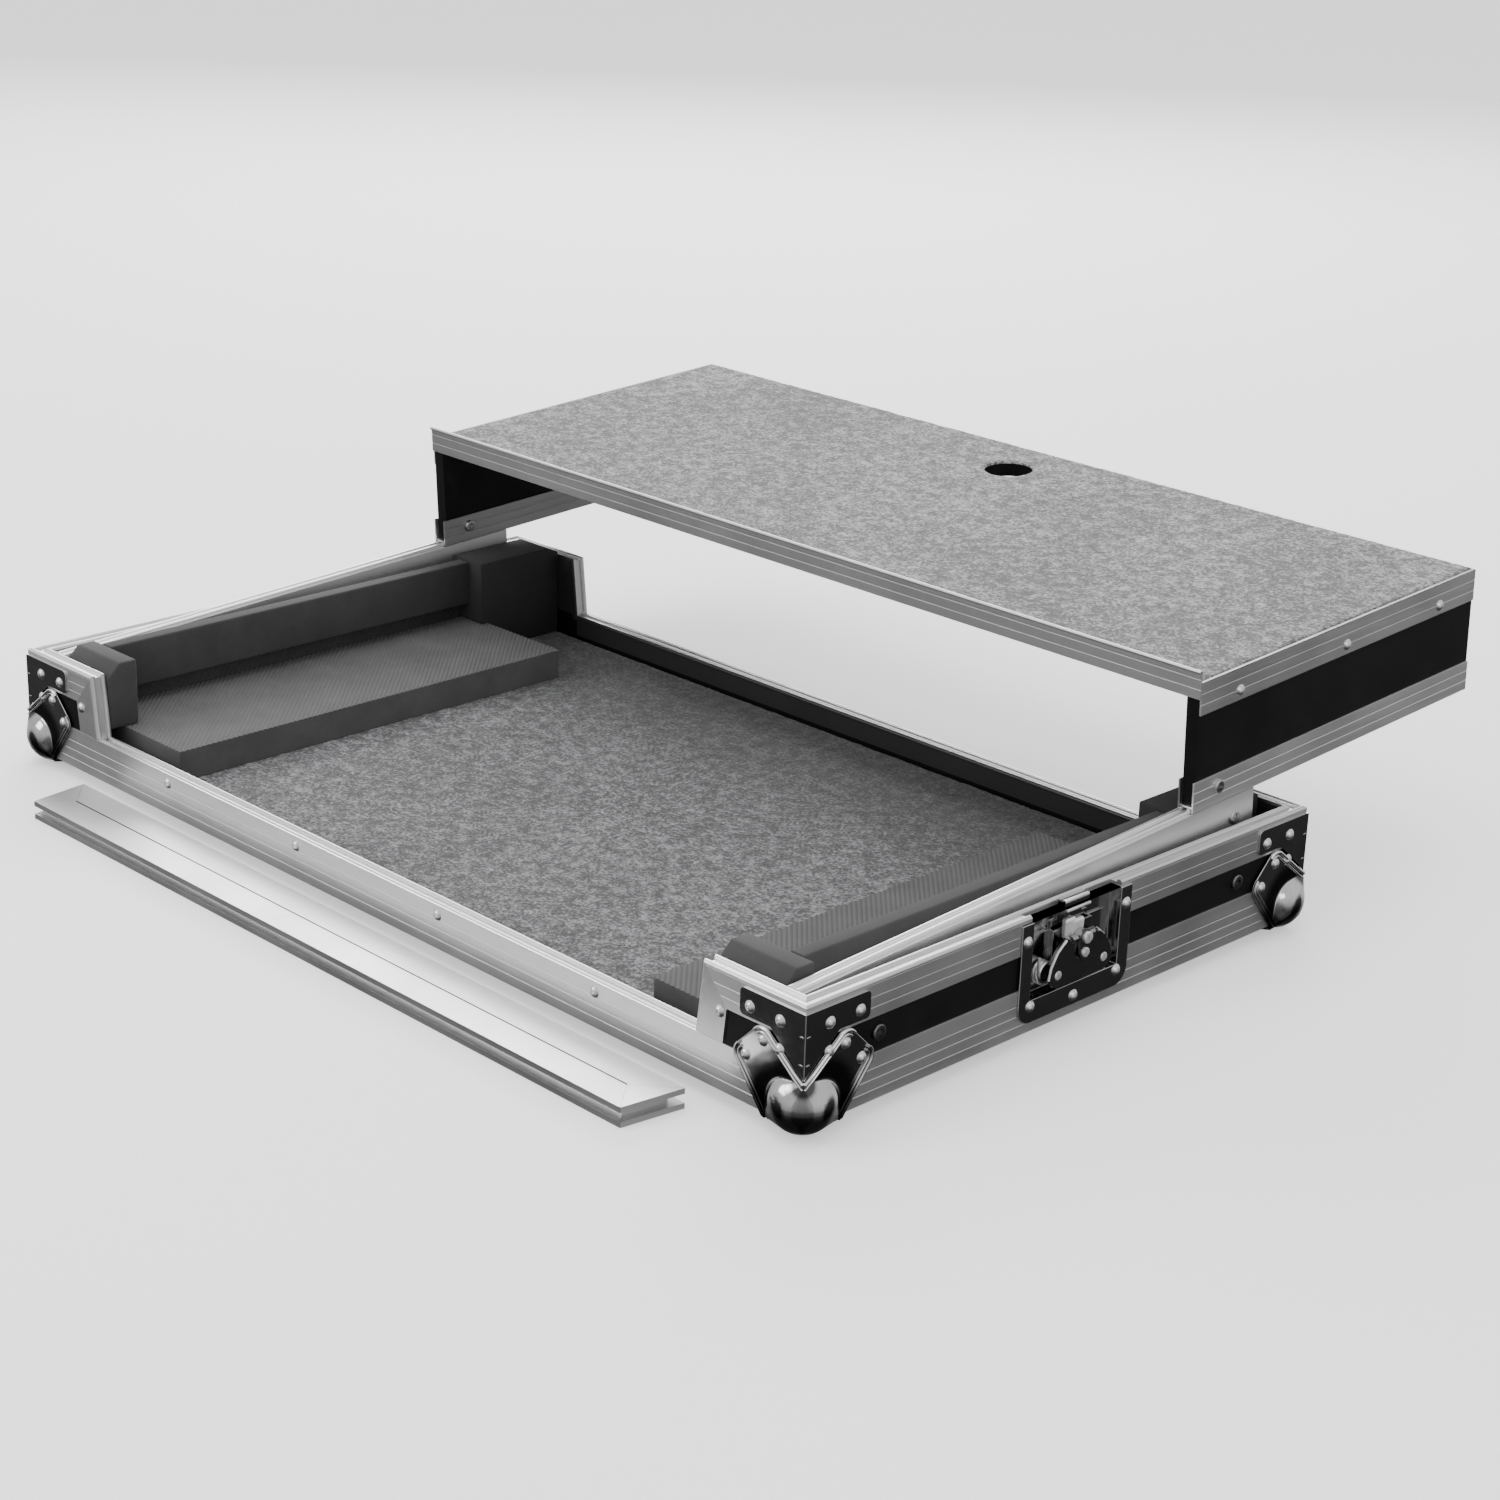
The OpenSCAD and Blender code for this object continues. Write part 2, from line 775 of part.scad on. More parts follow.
// Frame with Y along the rails from their front end and Z up from the rail boards' edges
module on_rail() {
    translate([0, rail_front_y, rail_front_h]) rotate([tilt, 0, 0]) children();
}

module rail_track() {
    on_rail() translate([rail_x, rail_len / 2, 0]) along_y(rail_len) track_section();
}

module rail_filler() {
    difference() {
        translate([rail_in_x + ply, rail_front_y, floor_top])
            cube([filler_t, rail_rear_y - rail_front_y, filler_top - floor_top]);
        bolt_holes();
    }
}

module rail_board_right() {
    color("#222222") lifted() rail_board();
}

module rail_board_left() {
    color("#222222") lifted() flipped(true, false) rail_board();
}

module rail_track_right() {
    color("silver") lifted() rail_track();
}

module rail_track_left() {
    color("silver") lifted() flipped(true, false) rail_track();
}

module rail_fillers() {
    color("#222222") lifted() for (left = [false, true]) flipped(left, false) rail_filler();
}

module rail_bolt() {
    translate([wall_x, 0, 0]) rotate([0, 90, 0]) {
        pan_head(bolt_head_r, bolt_head_h);
        translate([0, 0, rail_in_x - wall_x]) cylinder(r = bolt_r, h = wall_x - rail_in_x, $fn = 32);
    }
}

module rail_bolts() {
    color("#3a3a3a") lifted() for (left = [false, true], y = bolt_ys) flipped(left, false)
        translate([0, y, bolt_h]) rail_bolt();
}

module rail_stop_screws() {
    color("#8a8a8a") lifted() for (left = [false, true]) flipped(left, false) on_rail()
        translate([track_out_x, rail_len - stop_screw_in, -stop_screw_drop])
            rotate([0, 90, 0]) pan_head(screw_r, screw_h);
}

// Foam
module foam_pad() {
    translate([pad_out_x - pad_w, pad_front_y, pad_bottom]) cube([pad_w, pad_len, pad_t]);
}

module foam_pad_right() {
    color("#6e6e6e") lifted() foam_pad();
}

module foam_pad_left() {
    color("#6e6e6e") lifted() flipped(true, false) foam_pad();
}

module foam_bars() {
    w = foam_bar_w;
    low = strip_top + foam_gap;
    color("#4a4a4a") lifted() for (left = [false, true]) flipped(left, false)
        translate([soft_out_x - w, bar_rear_y, 0]) rotate([90, 0, 0])
            linear_extrude(height = bar_rear_y - bar_front_y) polygon([
                [0, low], [w, low], [w, foam_top - bar_chamfer_h], [w - bar_chamfer_w, foam_top],
                [0, foam_top]]);
}

module foam_strips() {
    color("#404040") lifted() for (left = [false, true]) flipped(left, false)
        translate([strip_in_x, bar_front_y, pad_bottom])
            cube([rail_in_x - foam_gap - strip_in_x, bar_rear_y - bar_front_y, strip_top - pad_bottom]);
}

module front_foam_blocks() {
    low = pad_top + foam_gap;
    d = front_block_d;
    color("#4a4a4a") lifted() for (left = [false, true]) flipped(left, false)
        translate([soft_out_x - front_block_w, block_front_y, 0]) rotate([90, 0, 90])
            linear_extrude(height = front_block_w) polygon([
                [0, low], [d, low], [d, foam_top], [block_chamfer_d, foam_top],
                [0, foam_top - block_chamfer_h]]);
}

module rear_foam_blocks() {
    top = foam_top + rear_block_rise;
    step_y = rear_block_step + foam_gap;
    d = soft_rear_y - rear_block_y;
    color("#4a4a4a") lifted() for (left = [false, true]) flipped(left, false)
        translate([soft_out_x - rear_block_w, rear_block_y, 0]) rotate([90, 0, 90])
            linear_extrude(height = rear_block_w) polygon([
                [step_y, pad_bottom], [d, pad_bottom], [d, top - block_chamfer_h / 2],
                [d - block_chamfer_d, top], [0, top], [0, pad_top + foam_gap],
                [step_y, pad_top + foam_gap]]);
}

// Latch: a dish let into the end wall, a frame in it, a hook that slides behind the frame, and a cam
// whose pin moves the hook and whose head carries the folding wing
module on_end(x) {
    translate([x, 0, 0]) rotate([90, 0, 90]) children();
}

module dish_outline() {
    r = dish_corner_r;
    translate([-dish_half, dish_low + r]) square([2 * dish_half, wall_h - dish_low - r]);
    translate([r - dish_half, dish_low]) square([2 * (dish_half - r), r + over]);
    for (side = [-1, 1]) translate([side * (dish_half - r), dish_low + r]) circle(r = r, $fn = 48);
}

module pocket_outline(grow) {
    half = pocket_half + grow;
    translate([-half, pocket_low - grow]) square([2 * half, wall_h - pocket_low + 2 * grow]);
}

module latch_dish() {
    difference() {
        union() {
            on_end(dish_x) linear_extrude(height = plate_t) dish_outline();
            intersection() {
                on_end(pocket_x - sheet) linear_extrude(height = dish_x + plate_t - pocket_x + sheet)
                    pocket_outline(sheet);
                translate([0, -case_d, 0]) cube([case_w, 2 * case_d, wall_h]);
            }
        }
        on_end(pocket_x) linear_extrude(height = case_w) translate([-pocket_half, pocket_low])
            square([2 * pocket_half, rim_top]);
    }
}

module latch_frame() {
    depth = frame_x + plate_t - pocket_x;
    difference() {
        union() {
            translate([0, 0, frame_low]) linear_extrude(height = frame_high - frame_low) {
                for (side = [-1, 1]) {
                    translate([pocket_x, side * (frame_half - plate_t / 2) - plate_t / 2])
                        square([depth, plate_t]);
                    translate([pocket_x, side * (frame_half + frame_foot / 2 - plate_t / 2) - frame_foot / 2
                        - plate_t / 2]) square([plate_t, frame_foot + plate_t]);
                }
                translate([frame_x, -frame_half]) square([plate_t, 2 * frame_half]);
            }
            translate([pocket_x, -spring_y, spring_h]) rotate([0, 90, 0])
                cylinder(r = spring_post_r, h = plate_t + spring_post_t, $fn = 32);
        }
        translate([frame_x - over, 0, spindle_h]) rotate([0, 90, 0])
            cylinder(r = boss_r + running_gap, h = plate_t + 2 * over, $fn = 48);
        translate([pocket_x - over, -frame_half + plate_t, 0])
            cube([frame_x - pocket_x + over, 2 * (frame_half - plate_t), wall_h]);
    }
}

module latch_hook() {
    slot_half = throw + side_gap;
    slot_r = cam_pin_r + hook_slot_play;
    difference() {
        translate([0, hook_half, 0]) rotate([90, 0, 0]) linear_extrude(height = 2 * hook_half) {
            translate([hook_x, hook_low]) square([plate_t, hook_top - hook_low]);
            translate([hook_x, hook_top - plate_t]) square([hook_reach, plate_t]);
            translate([hook_x + hook_reach - plate_t, hook_top - hook_lip]) square([plate_t, hook_lip]);
        }
        on_end(hook_x - over) linear_extrude(height = plate_t + 2 * over) translate([0, spindle_h + throw]) {
            translate([-slot_half, -slot_r]) square([2 * slot_half, 2 * slot_r]);
            for (side = [-1, 1]) translate([side * slot_half, 0]) circle(r = slot_r, $fn = 32);
        }
    }
}

module latch_cam() {
    on_end(hook_x + side_gap / 2) translate([0, spindle_h + throw, 0])
        cylinder(r = cam_pin_r, h = cam_x - hook_x, $fn = 32);
    on_end(cam_x) translate([0, spindle_h, 0]) cylinder(r = cam_r, h = cam_t, $fn = 48);
    on_end(cam_x) translate([0, spindle_h, 0]) cylinder(r = boss_r, h = tab_x + tab_t - cam_x, $fn = 48);
    on_end(tab_x) linear_extrude(height = tab_t) {
        translate([-tab_half, spindle_h]) square([2 * tab_half, hinge_h - spindle_h]);
        translate([0, spindle_h]) circle(r = tab_half, $fn = 40);
        translate([0, hinge_h]) circle(r = tab_half, $fn = 40);
    }
    translate([hinge_x, hinge_pin_half, hinge_h]) rotate([90, 0, 0])
        cylinder(r = hinge_pin_r, h = 2 * hinge_pin_half, $fn = 32);
}

// One side of the wing's outline, drawn in by inset
function wing_side(inset) = [for (share = wing_side_shares)
    [share[0] * (wing_half - inset), wing_low + inset + share[1] * (wing_top - wing_low - 2 * inset)]];

module wing_outline(inset) {
    right = wing_side(inset);
    last = len(right) - 1;
    polygon(concat(right, [for (i = [0 : last]) [-right[last - i][0], right[last - i][1]]]));
}

module latch_wing() {
    open = tab_half + knuckle_gap;
    difference() {
        union() {
            on_end(wing_x) linear_extrude(height = wing_t) wing_outline(0);
            on_end(wing_x - wing_lip_d) linear_extrude(height = wing_lip_d + wing_t) difference() {
                wing_outline(0);
                wing_outline(wing_lip_t);
                translate([-wing_half, wing_low]) square([2 * wing_half, wing_lip_low - wing_low]);
            }
            for (side = [-1, 1]) translate([hinge_x, side * (open + hinge_pin_half) / 2, hinge_h])
                rotate([90, 0, 0])
                    cylinder(r = knuckle_r, h = hinge_pin_half - open, center = true, $fn = 32);
        }
        on_end(wing_x - knuckle_r) linear_extrude(height = 3 * knuckle_r) {
            translate([-open, spindle_h]) square([2 * open, hinge_h]);
            translate([0, spindle_h]) circle(r = notch_r, $fn = 48);
        }
        translate([hinge_x, 0, hinge_h]) rotate([90, 0, 0])
            cylinder(r = hinge_pin_r + running_gap, h = 4 * wing_half, center = true, $fn = 32);
        for (side = [-1, 1]) translate([wing_x + wing_t - dimple_d, side * dimple_half, dimple_h])
            rotate([0, 90, 0]) cylinder(r = dimple_r, h = dimple_d + over, $fn = 32);
    }
}

// Torsion spring beside the frame: a tube along a helix, with its axis across the end wall
full_turn = 360;
spring_rings = 16;
spring_sides = 6;

function spring_point(a, side_angle) = let (
    r = spring_r + spring_wire_r * cos(side_angle),
    x = spring_pitch * a / full_turn + spring_wire_r * sin(side_angle))
    [x, r * cos(a), r * sin(a)];

module latch_spring() {
    count = spring_turns * spring_rings;
    points = [
        for (i = [0 : count], j = [0 : spring_sides - 1])
            spring_point(full_turn * i / spring_rings, full_turn * j / spring_sides)];
    side_faces = [
        for (i = [0 : count - 1], j = [0 : spring_sides - 1], half = [0, 1])
            let (a = i * spring_sides + j, b = i * spring_sides + (j + 1) % spring_sides)
                half == 0 ? [a, b, b + spring_sides] : [a, b + spring_sides, a + spring_sides]];
    last = count * spring_sides;
    end_faces = [
        for (j = [1 : spring_sides - 2], far = [0, 1])
            far == 0 ? [0, j + 1, j] : [last, last + j, last + j + 1]];
    translate([spring_x, -spring_y, spring_h])
        polyhedron(points = points, faces = concat(side_faces, end_faces));
}

// Least gap between two turns of the spring
echo(spring_least_gap = spring_pitch - 2 * spring_wire_r);

module latch_dish_right() {
    color("dimgray") lifted() latch_dish();
}

module latch_frame_right() {
    color("darkgray") lifted() latch_frame();
}

module latch_hook_right() {
    color("gainsboro") lifted() latch_hook();
}

module latch_cam_right() {
    color("gainsboro") lifted() latch_cam();
}

module latch_wing_right() {
    color("dimgray") lifted() latch_wing();
}

module latch_spring_right() {
    color("white") lifted() latch_spring();
}

module latch_dish_left() {
    color("dimgray") lifted() flipped(true, false) latch_dish();
}

module latch_frame_left() {
    color("darkgray") lifted() flipped(true, false) latch_frame();
}

module latch_hook_left() {
    color("gainsboro") lifted() flipped(true, false) latch_hook();
}

module latch_cam_left() {
    color("gainsboro") lifted() flipped(true, false) latch_cam();
}

module latch_wing_left() {
    color("dimgray") lifted() flipped(true, false) latch_wing();
}

module latch_spring_left() {
    color("white") lifted() flipped(true, false) latch_spring();
}

// Platform
module on_platform() {
    lifted() on_rail() translate([0, platform_start, platform_rise]) children();
}

module cable_hole() {
    translate([0, platform_d - cable_in, -board_t - over])
        cylinder(r = cable_r, h = board_t + mat_t + 2 * over, $fn = 64);
}

module platform_board() {
    half = platform_half - leaf;
    color("#1e1e1e") on_platform() difference() {
        translate([-half, 0, -board_t]) cube([2 * half, platform_d, board_t]);
        cable_hole();
    }
}

module platform_carpet() {
    half = platform_half - side_lip - foam_gap;
    color("#767676") on_platform() difference() {
        translate([-half, foam_gap, 0]) cube([2 * half, platform_d + mat_t - foam_gap, mat_t]);
        cable_hole();
    }
}

// Front edge: a grooved leaf over the board's front edge, which stands up as a lip with a rounded bead
module platform_front_edge() {
    color("silver") on_platform() translate([0, -leaf, 0]) difference() {
        union() {
            translate([-platform_half, 0, -board_t]) cube([2 * platform_half, leaf, board_t + lip_h]);
            translate([0, leaf - front_bead_r, lip_h]) rotate([0, 90, 0])
                cylinder(r = front_bead_r, h = 2 * platform_half, center = true, $fn = 32);
        }
        for (i = [1, 2]) translate([0, 0, -board_t + i * band_h])
            cube([2 * platform_half + over, 2 * groove_d, groove_w], center = true);
    }
}

// Side edge: a grooved leaf outside the side board with a lip round the carpet
module side_edge_section() {
    difference() {
        union() {
            translate([-leaf, -side_edge_h + leaf]) square([leaf, side_edge_h]);
            translate([-side_lip, 0]) square([side_lip, leaf]);
        }
        for (i = [1, 2])
            translate([-groove_d, leaf - i * side_edge_h / 3 - groove_w / 2])
                square([groove_d + over, groove_w]);
    }
}

module platform_side_edges() {
    color("silver") on_platform() for (left = [false, true]) flipped(left, false)
        translate([platform_half, platform_d / 2, 0]) along_y(platform_d) side_edge_section();
}

module platform_side_boards() {
    color("#222222") on_platform() for (left = [false, true]) flipped(left, false)
        translate([rail_x - ply / 2, 0, -board_t - side_board_h]) cube([ply, platform_d, side_board_h]);
}

// Runner channel: leaves on both sides of the side board that reach down past the rail's beads
module channel_section() {
    half = edge_w / 2;
    low = leaf + glide_gap - channel_web;
    difference() {
        union() {
            for (x = [-half, half - leaf]) translate([x, low]) square([leaf, channel_h]);
            translate([-half, 0]) square([edge_w, leaf]);
        }
        for (i = [1, 2], x = [-half - over, half - groove_d])
            translate([x, low + i * channel_h / 3 - groove_w / 2]) square([groove_d + over, groove_w]);
    }
}

module runner_channels() {
    length = platform_d + channel_front;
    color("silver") lifted() on_rail() for (left = [false, true]) flipped(left, false)
        translate([rail_x, platform_start - channel_front + length / 2, channel_web])
            along_y(length) channel_section();
}

module platform_rivets() {
    color("white") on_platform() for (left = [false, true], share = platform_rivet_shares)
        flipped(left, false) translate([platform_half, share * platform_d, -side_rivet_drop])
            rotate([0, 90, 0]) rivet();
}

module channel_screws() {
    color("#8a8a8a") lifted() on_rail() for (left = [false, true]) flipped(left, false)
        translate([rail_x, platform_start + channel_screw_v, channel_web + channel_screw_up])
            for (side = [-1, 1]) rotate([0, side * 90, 0]) translate([0, 0, edge_w / 2])
                pan_head(screw_r, screw_h);
}

// Front panel: four channel-shaped edges round a core, mitred at the corners
function panel_half(y, inset) = panel_long / 2 - (panel_w - y) * tan(panel_slant) - inset / cos(panel_slant);

function panel_outline(inset) = [
    [-panel_half(inset, inset), inset], [panel_half(inset, inset), inset],
    [panel_half(panel_w - inset, inset), panel_w - inset],
    [-panel_half(panel_w - inset, inset), panel_w - inset]];

panel_mid = panel_w / 2;
seam_half = panel_half(panel_mid, 0) - panel_mid;

module panel_frame_solid() {
    difference() {
        linear_extrude(height = panel_t) polygon(panel_outline(0));
        translate([0, 0, panel_leaf]) linear_extrude(height = panel_t - 2 * panel_leaf) difference() {
            translate([-panel_long, -panel_w]) square([2 * panel_long, 3 * panel_w]);
            polygon(panel_outline(panel_groove));
        }
        translate([0, 0, panel_leaf]) linear_extrude(height = panel_t - 2 * panel_leaf)
            polygon(panel_outline(panel_groove + panel_web));
    }
}

// A strip of one width from p to q, run a thin seam's width past both ends
function seam_strip(p, q, width) = let (
    along = (q - p) / norm(q - p), side = width / 2 * [-along[1], along[0]],
    a = p - seam_gap * along, b = q + seam_gap * along) [a + side, b + side, b - side, a - side];

module panel_edges() {
    o = panel_outline(0);
    ends = [[-seam_half, panel_mid], [seam_half, panel_mid]];
    seams = [[o[0], ends[0]], [o[3], ends[0]], [o[1], ends[1]], [o[2], ends[1]]];
    color("silver") lifted() translate([panel_x, panel_y, floor_h]) difference() {
        panel_frame_solid();
        translate([0, 0, -over]) linear_extrude(height = panel_t + 2 * over) {
            for (s = seams) polygon(seam_strip(s[0], s[1], seam_gap));
            polygon(seam_strip(ends[0], ends[1], long_seam_gap));
        }
    }
}

module panel_core() {
    color("#222222") lifted() translate([panel_x, panel_y, floor_h + panel_leaf])
        linear_extrude(height = panel_t - 2 * panel_leaf) polygon(panel_outline(panel_groove + panel_web));
}

floor_panel();
floor_carpet();
wall_front();
wall_rear();
wall_left();
wall_right();
base_edge_front();
base_edge_rear();
base_edge_left();
base_edge_right();
rim_edge_left();
rim_edge_right();
front_rim_edges();
rear_rim_edges();
front_cutout_edges();
rear_cutout_edges();
ball_corner_front_left();
ball_corner_front_right();
ball_corner_rear_left();
ball_corner_rear_right();
corner_bracket_front_left();
corner_bracket_front_right();
corner_bracket_rear_left();
corner_bracket_rear_right();
rail_board_left();
rail_board_right();
rail_track_left();
rail_track_right();
rail_fillers();
foam_pad_left();
foam_pad_right();
foam_bars();
foam_strips();
front_foam_blocks();
rear_foam_blocks();
case_rivets();
rail_bolts();
rail_stop_screws();
latch_dish_right();
latch_frame_right();
latch_hook_right();
latch_cam_right();
latch_wing_right();
latch_spring_right();
latch_dish_left();
latch_frame_left();
latch_hook_left();
latch_cam_left();
latch_wing_left();
latch_spring_left();
platform_board();
platform_carpet();
platform_front_edge();
platform_side_edges();
platform_side_boards();
runner_channels();
platform_rivets();
channel_screws();
panel_edges();
panel_core();
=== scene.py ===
import math

import bmesh
import bpy
from mathutils import Matrix, Vector


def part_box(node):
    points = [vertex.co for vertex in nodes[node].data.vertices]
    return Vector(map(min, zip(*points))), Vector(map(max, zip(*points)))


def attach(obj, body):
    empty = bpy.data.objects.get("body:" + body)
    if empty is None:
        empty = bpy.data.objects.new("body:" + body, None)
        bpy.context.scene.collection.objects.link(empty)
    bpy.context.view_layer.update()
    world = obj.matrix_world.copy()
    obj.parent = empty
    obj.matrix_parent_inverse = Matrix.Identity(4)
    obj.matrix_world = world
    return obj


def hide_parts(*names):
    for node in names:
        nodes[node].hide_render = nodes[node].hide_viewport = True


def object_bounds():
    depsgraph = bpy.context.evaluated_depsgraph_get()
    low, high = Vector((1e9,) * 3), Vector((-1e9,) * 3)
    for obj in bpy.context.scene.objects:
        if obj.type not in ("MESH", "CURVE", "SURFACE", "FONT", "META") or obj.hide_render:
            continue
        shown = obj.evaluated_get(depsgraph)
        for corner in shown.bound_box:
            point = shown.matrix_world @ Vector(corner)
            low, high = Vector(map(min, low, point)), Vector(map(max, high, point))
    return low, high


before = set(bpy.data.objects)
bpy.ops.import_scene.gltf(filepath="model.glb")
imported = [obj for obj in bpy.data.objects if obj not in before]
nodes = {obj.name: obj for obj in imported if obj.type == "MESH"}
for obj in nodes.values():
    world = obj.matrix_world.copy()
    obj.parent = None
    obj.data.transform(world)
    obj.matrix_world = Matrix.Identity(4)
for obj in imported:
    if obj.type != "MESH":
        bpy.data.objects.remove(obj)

cad_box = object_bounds()
MM = 0.001

# Shared by several pieces, in mm and degrees: the extrusions' leaf, the platform's tilt, how far a ball
# corner stands out past the case's corner, its ball's radius, and how deep the ball's middle lies inside
leaf, platform_tilt = 1.5, 2.9
ball_reach, ball_radius, ball_middle = 10.7, 25, 14.3
# The end wall's outer face in mm, then in metres the front left corner, as its ball corner's box gives
# it, and the rails' middle
case_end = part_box("wall_right")[1].x / MM + leaf
case_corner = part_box("ball_corner_front_left")[0] + Vector([ball_reach] * 3) * MM
rail_middle = (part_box("rail_board_right")[0].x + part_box("rail_board_right")[1].x) / 2


# The photograph's view and the studio's light

def photo_camera():
    """The camera of the photograph, in the part's own frame."""
    # The photograph's width, focal length and optical centre in pixels, and the lens's place in mm
    picture, focal, centre_x, centre_y = 1500, 3001.9, 755.3, 745.9
    lens_place = (1743.0, -1591.9, 955.3)
    turn, down, roll = (math.radians(a) for a in (45.1, 20.488, 1.756))
    data = bpy.data.cameras.new("photo_camera")
    camera = bpy.data.objects.new("photo_camera", data)
    bpy.context.scene.collection.objects.link(camera)
    data.sensor_width = 36
    data.lens = data.sensor_width * focal / picture
    data.shift_x = (picture / 2 - centre_x) / picture
    data.shift_y = (centre_y - picture / 2) / picture
    data.clip_start, data.clip_end = 0.1, 60
    ahead = Vector((-math.sin(turn) * math.cos(down), math.cos(turn) * math.cos(down), -math.sin(down)))
    right = ahead.cross(Vector((0, 0, 1))).normalized()
    up = right.cross(ahead)
    side = right * math.cos(roll) + up * math.sin(roll)
    top = up * math.cos(roll) - right * math.sin(roll)
    axes = Matrix((side, top, -ahead)).transposed().to_4x4()
    camera.matrix_world = Matrix.Translation(Vector(lens_place) * MM) @ axes
    bpy.context.scene.camera = camera


def soft_light(name, place, aim, width, height, power):
    """A rectangular lamp that points at its aim."""
    data = bpy.data.lights.new(name, "AREA")
    data.shape = "RECTANGLE"
    data.size, data.size_y, data.energy = width, height, power
    lamp = bpy.data.objects.new(name, data)
    bpy.context.scene.collection.objects.link(lamp)
    lamp.location = place
    lamp.rotation_euler = (Vector(aim) - Vector(place)).to_track_quat("-Z", "Y").to_euler()


def studio_sky():
    """A sky that is bright above and dim below, with dark flags in it that the metal mirrors."""
    # How bright the sky is on the way from straight below, 0, to straight above, 1
    stops = [(0.0, 0.03), (0.14, 0.06), (0.27, 0.55), (0.36, 0.95), (0.62, 1.0), (1.0, 1.0)]
    # Each flag's direction, the cosines at which it begins and is full, and how dark it is
    flags = (((0.57, 0.71, -0.41), 0.86, 0.96, 0.94), ((-0.65, -0.62, -0.42), 0.86, 0.95, 0.92),
             ((0.60, -0.62, -0.50), 0.72, 0.90, 0.60))
    world = bpy.data.worlds.new("studio_sky")
    bpy.context.scene.world = world
    world.use_nodes = True
    tree = world.node_tree

    def joined(kind, operation, *feeds):
        """A node that works on wires and constants."""
        made = tree.nodes.new(kind)
        made.operation = operation
        for k, feed in enumerate(feeds):
            if isinstance(feed, bpy.types.NodeSocket):
                tree.links.new(feed, made.inputs[k])
            else:
                made.inputs[k].default_value = feed
        return made.outputs["Value"]

    place = tree.nodes.new("ShaderNodeTexCoord").outputs["Generated"]
    split = tree.nodes.new("ShaderNodeSeparateXYZ")
    ramp = tree.nodes.new("ShaderNodeValToRGB")
    tree.links.new(place, split.inputs[0])
    tree.links.new(joined("ShaderNodeMath", "MULTIPLY_ADD", split.outputs["Z"], 0.5, 0.5), ramp.inputs[0])
    while len(ramp.color_ramp.elements) < len(stops):
        ramp.color_ramp.elements.new(1)
    for element, (at, grey) in zip(ramp.color_ramp.elements, stops):
        element.position, element.color = at, (grey, grey, grey, 1)
    shade = ramp.outputs[0]
    for toward, start, end, dark in flags:
        near = joined("ShaderNodeVectorMath", "DOT_PRODUCT", place, Vector(toward).normalized())
        flag = tree.nodes.new("ShaderNodeMapRange")
        flag.interpolation_type = "SMOOTHSTEP"
        for k, value in ((1, start), (2, end), (3, 1.0), (4, 1.0 - dark)):
            flag.inputs[k].default_value = value
        tree.links.new(near, flag.inputs[0])
        mix = tree.nodes.new("ShaderNodeMix")
        mix.data_type, mix.blend_type = "RGBA", "MULTIPLY"
        mix.inputs[0].default_value = 1.0
        tree.links.new(shade, mix.inputs[6])
        tree.links.new(flag.outputs[0], mix.inputs[7])
        shade = mix.outputs[2]
    sky = tree.nodes["Background"]
    tree.links.new(shade, sky.inputs["Color"])
    sky.inputs["Strength"].default_value = 0.95


def studio():
    """The sky, a pale floor under the ball corners, and soft lights."""
    studio_sky()
    clear_selection()
    bpy.ops.mesh.primitive_plane_add(size=60, location=(0, 0, cad_box[0].z))
    floor = bpy.context.object
    floor.name = "pale_floor"
    floor.visible_glossy = False
    paint = Finish("pale_floor", colour=(0.93, 0.93, 0.93), roughness=0.85, Emission_Color=(1, 1, 1, 1),
                   Emission_Strength=0.6)
    floor.data.materials.append(paint.material)
    soft_light("back_light", (-2.6, 2.6, 1.9), (0, 0, 0.1), 3.2, 1.4, 130)
    soft_light("top_light", (-0.4, -0.2, 3.2), (0, 0, 0), 2.6, 2.6, 60)
    soft_light("front_light", (-1.6, -2.8, 1.6), (0, 0, 0.1), 1.6, 1.2, 34)
    soft_light("side_light", (3.2, -0.6, 1.2), (0.4, 0, 0.05), 1.0, 0.8, 8)


# What a finish is mixed from

class Wire:
    """A value or colour on its way through a finish's nodes."""

    def __init__(self, finish, socket):
        self.finish, self.socket = finish, socket

    def maths(self, operation, first, second=0.0):
        return self.finish.node("ShaderNodeMath", {"operation": operation}, {0: first, 1: second})

    def __add__(self, other):
        return self.maths("ADD", self, other)

    def __sub__(self, other):
        return self.maths("SUBTRACT", self, other)

    def __rsub__(self, other):
        return self.maths("SUBTRACT", other, self)

    def __mul__(self, other):
        return self.maths("MULTIPLY", self, other)

    def __abs__(self):
        return self.maths("ABSOLUTE", self)

    __radd__ = __add__

    def larger(self, other):
        return self.maths("MAXIMUM", self, other)

    def smaller(self, other):
        return self.maths("MINIMUM", self, other)

    def between(self, low, high):
        """0 below low, 1 above high and smooth between them."""
        return self.finish.node("ShaderNodeMapRange", {"interpolation_type": "SMOOTHSTEP"},
                                {"Value": self, "From Min": low, "From Max": high})


